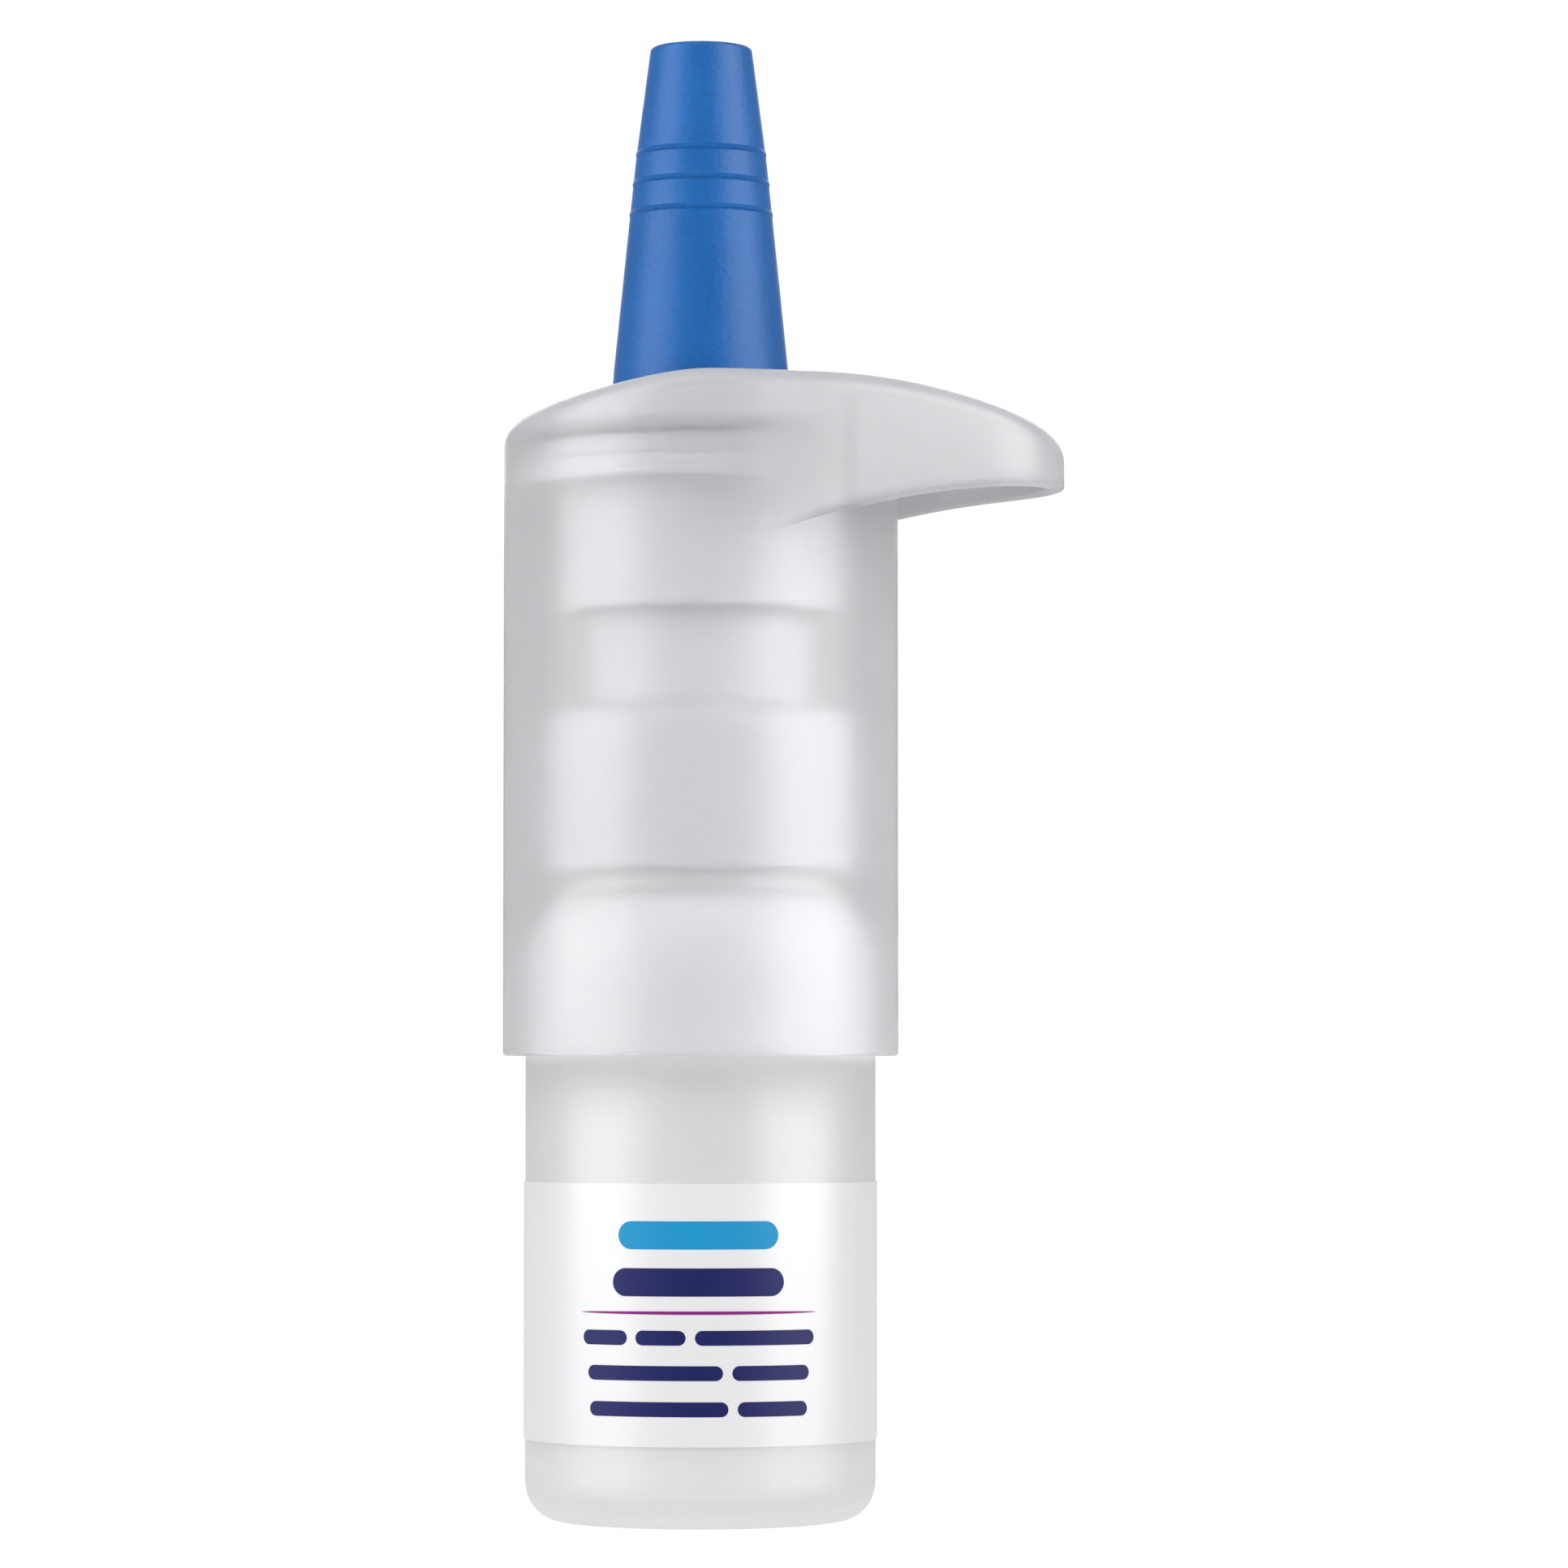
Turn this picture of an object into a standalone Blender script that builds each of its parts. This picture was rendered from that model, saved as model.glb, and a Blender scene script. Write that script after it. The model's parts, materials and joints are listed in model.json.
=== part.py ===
"""A pump eye drop bottle, standing on its base with its axis on +Z and its finger rest towards +X.

Lengths are in metres. The pieces are stacked from the base up: each one takes its place from the
piece that carries it and a named clearance. Pressing the sleeve down on the bottle drives the
piston through one stroke, and the return spring lifts it again.
"""
import math

import bmesh
import bpy
from mathutils import Vector

MM = 0.001

# Sides of the turned pieces, and steps in their rounded corners
WIDE_SIDES = 40
NARROW_SIDES = 24
BALL_SIDES = 12
CORNER_STEPS = 4
BASE_STEPS = 5
SHOULDER_STEPS = 5
SEAL_SIDES = 8
SHARP_ANGLE = math.radians(35)

# Points closer than this are one point
WELD = 0.001 * MM

# Clearances
SEAT_GAP = 0.1 * MM      # between faces that rest on each other
SLIDE_GAP = 0.1 * MM     # round small parts that slide or plug into each other
RUN_GAP = 0.3 * MM       # round the wide parts, and under the cap

# Bottle
BOTTLE_RADIUS = 11.5 * MM
BOTTLE_WALL = 1.0 * MM
BASE_CORNER_REACH = 2.4 * MM
BASE_CORNER_HEIGHT = 2.5 * MM
BODY_HEIGHT = 36.5 * MM
SHOULDER_HEIGHT = 5.0 * MM
SHOULDER_TUCK = 0.6 * MM      # left of the shoulder's curve where it meets the neck
SHOULDER_POWER_SHARE = 1.6
NECK_WALL = 1.2 * MM
NECK_HEIGHT = 8.9 * MM
BEAD_DEPTH = 0.5 * MM
BEAD_HEIGHT = 1.6 * MM
BEAD_DROP = 3.8 * MM     # from the neck's top down to the bead

# Label
LABEL_BOTTOM = 5.4 * MM
LABEL_HEIGHT = 16.8 * MM
LABEL_THICKNESS = 0.08 * MM
LABEL_GLUE = 0.02 * MM

# Pump housing, hung in the neck by its flange
GASKET_THICKNESS = 0.7 * MM
FLANGE_THICKNESS = 0.7 * MM
FLANGE_OVERHANG = 0.1 * MM
FLOOR_THICKNESS = 1.0 * MM
FLANGE_REACH = 1.2 * MM       # of the neck beyond the tower
TOWER_WALL = 0.9 * MM
TOWER_HEIGHT = 11.2 * MM
TOWER_BEVEL = 0.3 * MM
BARREL_WALL = 1.2 * MM
CHAMBER_RADIUS = 3.2 * MM
FILTER_THICKNESS = 0.6 * MM
FILTER_GAP = 0.8 * MM

# Inlet valve: seat, ball and cage pressed into the barrel's foot from below
VALVE_LEDGE = 0.4 * MM
SEAT_HEIGHT = 1.6 * MM
SEAT_DEPTH = 9.7 * MM    # from the flange down to the seat's foot
INLET_RADIUS = 0.65 * MM
BALL_RADIUS = 1.0 * MM
BALL_LIFT = 0.5 * MM
BALL_ROOM = 0.6 * MM
CAGE_ROOF = 0.5 * MM
CAGE_HOLE_RADIUS = 0.7 * MM

# Piston, rod and guide
PUMP_STROKE = 4.0 * MM
STROKE_MARGIN = 0.2 * MM
ROD_RADIUS = 1.9 * MM
ROD_BORE = 0.8 * MM
WAIST_STEP = 0.4 * MM
ROD_FOOT_GAP = 0.8 * MM
ROD_FOOT_HEIGHT = 0.5 * MM
SEAL_HEIGHT = 1.8 * MM
SEAL_LIP = 0.35 * MM
GUIDE_HEIGHT = 2.6 * MM
GUIDE_LEDGE = 0.4 * MM
GUIDE_LIP_HEIGHT = 0.6 * MM
GUIDE_RUN_GAP = 0.25 * MM

# Closure collar, snapped over the neck's bead
COLLAR_GAP = 0.25 * MM
COLLAR_WALL = 1.0 * MM
COLLAR_CORNER = 1.5 * MM
COLLAR_LIFT = 0.9 * MM
COLLAR_PLATE = 1.1 * MM
SNAP_LIP_GAP = 0.2 * MM
SNAP_LIP_HEIGHT = 0.9 * MM

# Return spring
SPRING_BARREL_GAP = 0.65 * MM
SPRING_TOWER_GAP = 0.75 * MM
SPRING_WIRE = 0.35 * MM
SPRING_TURNS = 7
END_TURN_SHARE = 0.5     # pitch of the first and last turn, against that of the others
SPRING_POINTS = 10

# Nozzle carrier, which moves with the sleeve
CARRIER_MARGIN = 1.2 * MM
CARRIER_FLANGE = 1.5 * MM
CARRIER_STEP = 1.4 * MM
CARRIER_STEP_INSET = 0.6 * MM
HUB_REACH = 2.4 * MM          # beyond the nozzle's flange
HUB_HEIGHT = 1.3 * MM
SKIRT_GAP = 0.7 * MM
SKIRT_WALL = 1.0 * MM
SKIRT_LENGTH = 8.2 * MM
BOSS_WALL = 1.0 * MM
BOSS_LENGTH = 3.7 * MM
ROD_ENGAGEMENT = 0.8 * MM
SOCKET_WEB = 0.6 * MM
SEAL_POCKET_DEPTH = 0.8 * MM

# Nozzle
SPIGOT_RADIUS = 3.9 * MM
NOZZLE_LEDGE = 0.7 * MM
NOZZLE_FLANGE_HEIGHT = 0.9 * MM
NOZZLE_ROOT_STEP = 0.5 * MM
NOZZLE_TIP_RADIUS = 1.75 * MM
NOZZLE_LENGTH = 18.4 * MM
NOZZLE_ROUNDING = 0.9 * MM
NOZZLE_BORE = 1.5 * MM
ORIFICE_RADIUS = 0.35 * MM
ORIFICE_LENGTH = 1.0 * MM
VALVE_CONE_HEIGHT = 1.4 * MM
NOZZLE_SEAL_GAP = 0.07 * MM

# Outlet valve
PIN_RADIUS = 0.8 * MM
PIN_TIP_RADIUS = 0.2 * MM
PIN_FOOT_GAP = 0.2 * MM
PIN_FOOT_HEIGHT = 0.8 * MM
PIN_LENGTH = 15.0 * MM
PIN_TIP_DEPTH = 0.2 * MM
OUTLET_SPRING_GAP = 0.3 * MM
OUTLET_SPRING_WIRE = 0.15 * MM
OUTLET_SPRING_TURNS = 5
OUTLET_SPRING_POINTS = 8

# Cap
CAP_REST_GAP = 0.2 * MM
INSERT_HEIGHT = 4.0 * MM
CAP_FOOT_HEIGHT = 2.4 * MM
CAP_GRIP_GAP = 0.28 * MM
CAP_BREAK_RADIUS = 4.36 * MM
CAP_TOP_RADIUS = 3.38 * MM
CAP_BREAK_DROP = 7.8 * MM
CAP_WALL = 1.0 * MM
CAP_ROOF = 1.6 * MM
CAP_EDGE = 0.3 * MM
RING_COUNT = 3
RING_DROP = 7.1 * MM
RING_PITCH = 2.0 * MM
RING_WIDTH = 0.4 * MM
RING_RELIEF = 0.06 * MM

# Sleeve with its finger rest
SLEEVE_GAP = 0.4 * MM
SLEEVE_WALL = 1.1 * MM
SLEEVE_MARGIN = 4.2 * MM     # left above the label at full stroke
SLEEVE_BEVEL = 0.25 * MM
ROOF_LIFT = 2.65 * MM        # from the carrier's hub up to the roof's crown
ROOF_EDGE = 1.4 * MM
ROOF_SLOPE_SHARE = 0.25      # fall of the roof away from the finger rest
ROOF_KNEE = 4.0 * MM
ROOF_KNEE_X = 1.0 * MM
REST_REACH = 11.0 * MM        # beyond the sleeve's side
REST_TIP_RADIUS = 7.5 * MM
REST_WALL = 1.2 * MM
REST_DROOP = 3.6 * MM
REST_DROOP_X = 8.0 * MM
REST_DEPTH = 6.95 * MM       # from the crown down to the rim at the tip
RIM_ARC_RADIUS = 53.0 * MM
BACK_COLUMNS = 30
FLANK_COLUMNS = 4
ROOT_COLUMNS = 2
TIP_COLUMNS = 10
ROOF_RINGS = 4

# Radii that follow a neighbour, from the pump's chamber outwards
BARREL_RADIUS = CHAMBER_RADIUS + BARREL_WALL
VALVE_RADIUS = CHAMBER_RADIUS + VALVE_LEDGE
ROD_FOOT_RADIUS = CHAMBER_RADIUS - ROD_FOOT_GAP
ROD_WAIST = ROD_RADIUS - WAIST_STEP
SPRING_RADIUS = BARREL_RADIUS + SPRING_BARREL_GAP + SPRING_WIRE
TOWER_BORE = SPRING_RADIUS + SPRING_WIRE + SPRING_TOWER_GAP
TOWER_RADIUS = TOWER_BORE + TOWER_WALL
NECK_RADIUS = TOWER_RADIUS + FLANGE_REACH
BORE_RADIUS = NECK_RADIUS - NECK_WALL
SHOULDER_REACH = BOTTLE_RADIUS - NECK_RADIUS + SHOULDER_TUCK
COLLAR_BORE = NECK_RADIUS + BEAD_DEPTH + COLLAR_GAP
COLLAR_RADIUS = COLLAR_BORE + COLLAR_WALL
SLEEVE_BORE = max(BOTTLE_RADIUS, COLLAR_RADIUS) + SLEEVE_GAP
SLEEVE_RADIUS = SLEEVE_BORE + SLEEVE_WALL
REST_TIP_X = SLEEVE_RADIUS + REST_REACH
CARRIER_RADIUS = SLEEVE_BORE - RUN_GAP
SKIRT_BORE = TOWER_RADIUS + SKIRT_GAP
SKIRT_RADIUS = SKIRT_BORE + SKIRT_WALL
ROD_SOCKET = ROD_RADIUS + SLIDE_GAP
BOSS_RADIUS = ROD_SOCKET + BOSS_WALL
NOZZLE_SOCKET = SPIGOT_RADIUS + SLIDE_GAP
NOZZLE_FLANGE_RADIUS = SPIGOT_RADIUS + NOZZLE_LEDGE
NOZZLE_ROOT_RADIUS = NOZZLE_FLANGE_RADIUS - NOZZLE_ROOT_STEP
HUB_RADIUS = NOZZLE_FLANGE_RADIUS + HUB_REACH
NOZZLE_SEAL_WIRE = NOZZLE_LEDGE / 2 - NOZZLE_SEAL_GAP
PIN_FOOT_RADIUS = NOZZLE_BORE - PIN_FOOT_GAP
OUTLET_SPRING_RADIUS = NOZZLE_BORE - OUTLET_SPRING_GAP - OUTLET_SPRING_WIRE
CAP_BORE = NOZZLE_FLANGE_RADIUS + CAP_GRIP_GAP
CAP_FOOT_RADIUS = CAP_BORE + CAP_WALL
ROOF_HOLE = CAP_FOOT_RADIUS + RUN_GAP

# Heights, worked out from the base up
NECK_TOP = BODY_HEIGHT + SHOULDER_HEIGHT + NECK_HEIGHT
LABEL_TOP = LABEL_BOTTOM + LABEL_HEIGHT
GASKET_Z = NECK_TOP + SEAT_GAP
HOUSING_Z = GASKET_Z + GASKET_THICKNESS + SEAT_GAP
FILTER_Z = HOUSING_Z - SEAT_GAP - FILTER_THICKNESS
COLLAR_Z = BODY_HEIGHT + SHOULDER_HEIGHT + COLLAR_LIFT
COLLAR_TOP = HOUSING_Z + FLANGE_THICKNESS + SEAT_GAP + COLLAR_PLATE
TOWER_TOP = HOUSING_Z + TOWER_HEIGHT
SEAT_Z = HOUSING_Z - SEAT_DEPTH
BALL_Z = SEAT_Z + SEAT_HEIGHT + math.sqrt(BALL_RADIUS**2 - INLET_RADIUS**2) + SEAT_GAP
CAGE_Z = SEAT_Z + SEAT_HEIGHT + SEAT_GAP
CAGE_TOP = BALL_Z + BALL_RADIUS + BALL_LIFT + SEAT_GAP + CAGE_ROOF
CHAMBER_Z = CAGE_TOP + SEAT_GAP
ROD_Z = CHAMBER_Z + PUMP_STROKE + STROKE_MARGIN
PISTON_SEAL_Z = ROD_Z + ROD_FOOT_HEIGHT + SEAT_GAP
GUIDE_Z = PISTON_SEAL_Z + SEAL_HEIGHT + SEAT_GAP
BARREL_TOP = GUIDE_Z + GUIDE_HEIGHT
SPRING_Z = HOUSING_Z + FLOOR_THICKNESS + SEAT_GAP
CARRIER_Z = TOWER_TOP + PUMP_STROKE + CARRIER_MARGIN
ROD_TOP = CARRIER_Z + ROD_ENGAGEMENT
WEB_Z = CARRIER_Z + CARRIER_FLANGE - SOCKET_WEB
SOCKET_Z = WEB_Z + SOCKET_WEB
HUB_TOP = CARRIER_Z + CARRIER_FLANGE + CARRIER_STEP + HUB_HEIGHT
NOZZLE_Z = SOCKET_Z + SEAT_GAP
NOZZLE_TOP = HUB_TOP + SEAT_GAP + NOZZLE_FLANGE_HEIGHT + NOZZLE_LENGTH
VALVE_SEAT_Z = NOZZLE_TOP - ORIFICE_LENGTH
PIN_TOP = NOZZLE_TOP - PIN_TIP_DEPTH
PIN_Z = PIN_TOP - PIN_LENGTH
CAP_Z = HUB_TOP + CAP_REST_GAP
INSERT_Z = NOZZLE_TOP + SEAT_GAP
CAP_HEIGHT = INSERT_Z + INSERT_HEIGHT + SEAT_GAP + CAP_ROOF - CAP_Z
SLEEVE_Z = LABEL_TOP + PUMP_STROKE + SLEEVE_MARGIN
ROOF_Z = HUB_TOP + ROOF_LIFT
RIM_Z = ROOF_Z - REST_DEPTH


def linear(red, green, blue):
    """A colour given as it looks on a screen, from 0 to 255, as the shader wants it."""
    parts = [c / 255 for c in (red, green, blue)]
    return [((c + 0.055) / 1.055) ** 2.4 if c > 0.04 else c / 12.92 for c in parts]


def finish(name, colour, roughness, metallic=0.0):
    material = bpy.data.materials.new(name)
    material.use_nodes = True
    shader = material.node_tree.nodes["Principled BSDF"]
    shader.inputs["Base Color"].default_value = (*linear(*colour), 1.0)
    shader.inputs["Roughness"].default_value = roughness
    shader.inputs["Metallic"].default_value = metallic
    return material


def body_frame(name, height, carrier=None):
    """An empty on the axis that carries the pieces of one moving body."""
    frame = bpy.data.objects.new(name, None)
    bpy.context.collection.objects.link(frame)
    frame.parent = carrier
    frame.location.z = height - (carrier.matrix_world.translation.z if carrier else 0)
    bpy.context.view_layer.update()
    return frame


def add_object(name, data, material, frame, height):
    """Adds a piece whose own heights start at its seat, and stands it on that seat."""
    piece = bpy.data.objects.new(name, data)
    bpy.context.collection.objects.link(piece)
    data.materials.append(material)
    piece.parent = frame
    piece.location.z = height - frame.matrix_world.translation.z
    return piece


def arc(centre, reach, start, end, steps=CORNER_STEPS):
    """Points (radius, height) along a round or oval corner, between two angles in degrees."""
    across, up = reach
    angles = [math.radians(start + (end - start) * i / steps) for i in range(steps + 1)]
    return [(centre[0] + across * math.cos(a), centre[1] + up * math.sin(a)) for a in angles]


def turned(name, outline, material, frame, height, sides=NARROW_SIDES):
    """A turned piece: the outline of its half section, (radius, height), spun round the axis."""
    shape = bmesh.new()
    points = [shape.verts.new((radius, 0, level)) for radius, level in outline]
    on_axis = outline[0][0] == 0 and outline[-1][0] == 0
    pairs = zip(points, points[1:] if on_axis else points[1:] + points[:1])
    edges = [shape.edges.new(pair) for pair in pairs]
    bmesh.ops.spin(
        shape, geom=points + edges, cent=(0, 0, 0), axis=(0, 0, 1), angle=math.tau, steps=sides,
        use_merge=True,
    )
    bmesh.ops.remove_doubles(shape, verts=shape.verts, dist=WELD)
    bmesh.ops.recalc_face_normals(shape, faces=shape.faces)
    mesh = bpy.data.meshes.new(name)
    shape.to_mesh(mesh)
    shape.free()
    mesh.shade_smooth()
    mesh.set_sharp_from_angle(angle=SHARP_ANGLE)
    return add_object(name, mesh, material, frame, height)


def coil(name, radius, wire, turns, length, points, material, frame, height):
    """A wound spring as one unbroken tube, with its end turns closer than the rest."""
    rise = length - 2 * wire
    steps = turns * points
    pitches = [END_TURN_SHARE if not points <= i < steps - points else 1 for i in range(steps)]
    levels = [wire + rise * sum(pitches[:i]) / sum(pitches) for i in range(steps + 1)]
    path = []
    for i, level in enumerate(levels):
        angle = math.tau * i / points
        path.append(Vector((radius * math.cos(angle), radius * math.sin(angle), level)))
    curve = bpy.data.curves.new(name, "CURVE")
    curve.dimensions = "3D"
    curve.bevel_depth = wire
    curve.bevel_resolution = 1
    curve.use_fill_caps = True
    line = curve.splines.new("POLY")
    line.points.add(len(path) - 1)
    for point, place in zip(line.points, path):
        point.co = (*place, 1)
    least = min((path[i + points] - path[i]).length for i in range(len(path) - points)) - 2 * wire
    print(f"{name}: least gap between its turns {least / MM:.2f} mm")
    return add_object(name, curve, material, frame, height)


def shoulder(radius, reach, height, start, end):
    """The bottle's shoulder, from its side inwards to the radius where the neck begins."""
    middle = radius - reach
    points = []
    for i in range(SHOULDER_STEPS + 1):
        across = reach + (end - middle - reach) * i / SHOULDER_STEPS
        up = (1 - (across / reach) ** SHOULDER_POWER_SHARE) ** (1 / SHOULDER_POWER_SHARE)
        points.append((middle + across, start + height * up))
    return points


def make_bottle(frame, material):
    inner = BOTTLE_RADIUS - BOTTLE_WALL
    bead_z = NECK_TOP - BEAD_DROP
    centre = (BOTTLE_RADIUS - BASE_CORNER_REACH, BASE_CORNER_HEIGHT)
    outer_reach = (BASE_CORNER_REACH, BASE_CORNER_HEIGHT)
    inner_reach = (BASE_CORNER_REACH - BOTTLE_WALL, BASE_CORNER_HEIGHT - BOTTLE_WALL)
    outline = [(0, 0), *arc(centre, outer_reach, -90, 0, BASE_STEPS)]
    outline += shoulder(BOTTLE_RADIUS, SHOULDER_REACH, SHOULDER_HEIGHT, BODY_HEIGHT, NECK_RADIUS)
    outline += [
        (NECK_RADIUS, bead_z - BEAD_HEIGHT),
        (NECK_RADIUS + BEAD_DEPTH, bead_z - BEAD_HEIGHT + BEAD_DEPTH),
        (NECK_RADIUS + BEAD_DEPTH, bead_z - BEAD_DEPTH),
        (NECK_RADIUS, bead_z),
        (NECK_RADIUS, NECK_TOP),
        (BORE_RADIUS, NECK_TOP),
    ]
    inner_end = max(BORE_RADIUS, inner - SHOULDER_REACH)
    inside = shoulder(inner, SHOULDER_REACH, SHOULDER_HEIGHT - BOTTLE_WALL, BODY_HEIGHT, inner_end)
    outline += inside[::-1] + arc(centre, inner_reach, 0, -90) + [(0, BOTTLE_WALL)]
    turned("bottle", outline, material, frame, 0, WIDE_SIDES)


def make_ring(name, radii, thickness, material, frame, height, sides=NARROW_SIDES):
    """A plain flat ring or a plain tube, from its inner and outer radius."""
    inner, outer = radii
    outline = [(inner, 0), (outer, 0), (outer, thickness), (inner, thickness)]
    turned(name, outline, material, frame, height, sides)


def make_label(frame, material):
    inner = BOTTLE_RADIUS + LABEL_GLUE
    radii = (inner, inner + LABEL_THICKNESS)
    make_ring("label", radii, LABEL_HEIGHT, material, frame, LABEL_BOTTOM, WIDE_SIDES)


def make_gasket(frame, material):
    """The soft ring that the neck's top and the housing's flange squeeze."""
    radii = (BORE_RADIUS + SLIDE_GAP, NECK_RADIUS)
    make_ring("neck_gasket", radii, GASKET_THICKNESS, material, frame, GASKET_Z)


def make_vent_filter(frame, material):
    """The ring under the housing's floor that filters the air on its way in."""
    radii = (BARREL_RADIUS + SLIDE_GAP, BORE_RADIUS - FILTER_GAP)
    make_ring("vent_filter", radii, FILTER_THICKNESS, material, frame, FILTER_Z)


def make_pump_housing(frame, material):
    """Flange, tower and barrel in one moulding, with heights from the flange's underside."""
    guide_bore = CHAMBER_RADIUS + GUIDE_LEDGE + SLIDE_GAP
    valve_bore = VALVE_RADIUS + SLIDE_GAP
    flange_radius = NECK_RADIUS + FLANGE_OVERHANG
    barrel_top = BARREL_TOP - HOUSING_Z
    outline = [
        (BARREL_RADIUS, 0),
        (flange_radius, 0),
        (flange_radius, FLANGE_THICKNESS),
        (TOWER_RADIUS, FLANGE_THICKNESS),
        (TOWER_RADIUS, TOWER_HEIGHT - TOWER_BEVEL),
        (TOWER_RADIUS - TOWER_BEVEL, TOWER_HEIGHT),
        (TOWER_BORE, TOWER_HEIGHT),
        (TOWER_BORE, FLOOR_THICKNESS),
        (BARREL_RADIUS, FLOOR_THICKNESS),
        (BARREL_RADIUS, barrel_top),
        (guide_bore, barrel_top),
        (guide_bore, GUIDE_Z - SEAT_GAP - HOUSING_Z),
        (CHAMBER_RADIUS, GUIDE_Z - SEAT_GAP - HOUSING_Z),
        (CHAMBER_RADIUS, CHAMBER_Z - HOUSING_Z),
        (valve_bore, CHAMBER_Z - HOUSING_Z),
        (valve_bore, SEAT_Z - HOUSING_Z),
        (BARREL_RADIUS, SEAT_Z - HOUSING_Z),
    ]
    turned("pump_housing", outline, material, frame, HOUSING_Z, WIDE_SIDES)


def make_inlet_seat(frame, material):
    funnel = INLET_RADIUS + SEAT_HEIGHT / 2
    outline = [
        (funnel, 0),
        (VALVE_RADIUS, 0),
        (VALVE_RADIUS, SEAT_HEIGHT),
        (INLET_RADIUS, SEAT_HEIGHT),
        (INLET_RADIUS, SEAT_HEIGHT / 2),
    ]
    turned("inlet_seat", outline, material, frame, SEAT_Z)


def make_ball_cage(frame, material):
    """The cup over the ball, which limits its lift and lets the drops past into the chamber."""
    ball_bore = BALL_RADIUS + BALL_ROOM
    height = CAGE_TOP - CAGE_Z
    outline = [
        (ball_bore, 0),
        (VALVE_RADIUS, 0),
        (VALVE_RADIUS, height),
        (CAGE_HOLE_RADIUS, height),
        (CAGE_HOLE_RADIUS, height - CAGE_ROOF),
        (ball_bore, height - CAGE_ROOF),
    ]
    turned("ball_cage", outline, material, frame, CAGE_Z)


def make_inlet_ball(frame, material):
    outline = arc((0, 0), (BALL_RADIUS, BALL_RADIUS), -90, 90, BALL_SIDES // 2)
    outline[0], outline[-1] = (0, -BALL_RADIUS), (0, BALL_RADIUS)
    turned("inlet_ball", outline, material, frame, BALL_Z, BALL_SIDES)


def make_rod_guide(frame, material):
    bore = ROD_RADIUS + GUIDE_RUN_GAP
    body = CHAMBER_RADIUS + GUIDE_LEDGE
    lip_z = GUIDE_HEIGHT + SEAT_GAP
    outline = [
        (bore, 0),
        (body, 0),
        (body, lip_z),
        (BARREL_RADIUS, lip_z),
        (BARREL_RADIUS, lip_z + GUIDE_LIP_HEIGHT),
        (bore, lip_z + GUIDE_LIP_HEIGHT),
    ]
    turned("rod_guide", outline, material, frame, GUIDE_Z)


def make_closure_collar(frame, material):
    """The collar's heights start at its lower edge. Its snap lip catches under the neck's bead."""
    height = COLLAR_TOP - COLLAR_Z
    plate_z = height - COLLAR_PLATE
    lip_radius = NECK_RADIUS + SNAP_LIP_GAP
    lip_z = NECK_TOP - BEAD_DROP - BEAD_HEIGHT - SEAT_GAP - COLLAR_Z
    corner_centre = (COLLAR_RADIUS - COLLAR_CORNER, height - COLLAR_CORNER)
    outline = [
        (COLLAR_BORE, 0),
        (COLLAR_RADIUS - SLEEVE_BEVEL, 0),
        (COLLAR_RADIUS, SLEEVE_BEVEL),
        *arc(corner_centre, (COLLAR_CORNER, COLLAR_CORNER), 0, 90),
        (TOWER_RADIUS + RUN_GAP, height),
        (TOWER_RADIUS + RUN_GAP, plate_z),
        (COLLAR_BORE, plate_z),
        (COLLAR_BORE, lip_z + SNAP_LIP_GAP),
        (lip_radius, lip_z),
        (lip_radius, lip_z - SNAP_LIP_HEIGHT),
    ]
    turned("closure_collar", outline, material, frame, COLLAR_Z, WIDE_SIDES)


def make_piston(frame, rod_material, seal_material):
    """The hollow rod, with a foot and a waist that hold the soft piston seal."""
    waist_z = ROD_FOOT_HEIGHT
    shoulder_z = GUIDE_Z - ROD_Z
    outline = [
        (ROD_BORE, 0),
        (ROD_FOOT_RADIUS, 0),
        (ROD_FOOT_RADIUS, waist_z),
        (ROD_WAIST, waist_z),
        (ROD_WAIST, shoulder_z),
        (ROD_RADIUS, shoulder_z),
        (ROD_RADIUS, ROD_TOP - ROD_Z),
        (ROD_BORE, ROD_TOP - ROD_Z),
    ]
    turned("piston_rod", outline, rod_material, frame, ROD_Z)
    bore = ROD_WAIST + SLIDE_GAP
    lip = CHAMBER_RADIUS - SLIDE_GAP
    outline = [
        (bore, 0),
        (lip - SEAL_LIP, 0),
        (lip, SEAL_LIP),
        (lip - SEAL_LIP, SEAL_HEIGHT / 2),
        (lip, SEAL_HEIGHT - SEAL_LIP),
        (lip - SEAL_LIP, SEAL_HEIGHT),
        (bore, SEAL_HEIGHT),
    ]
    turned("piston_seal", outline, seal_material, frame, PISTON_SEAL_Z)


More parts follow.
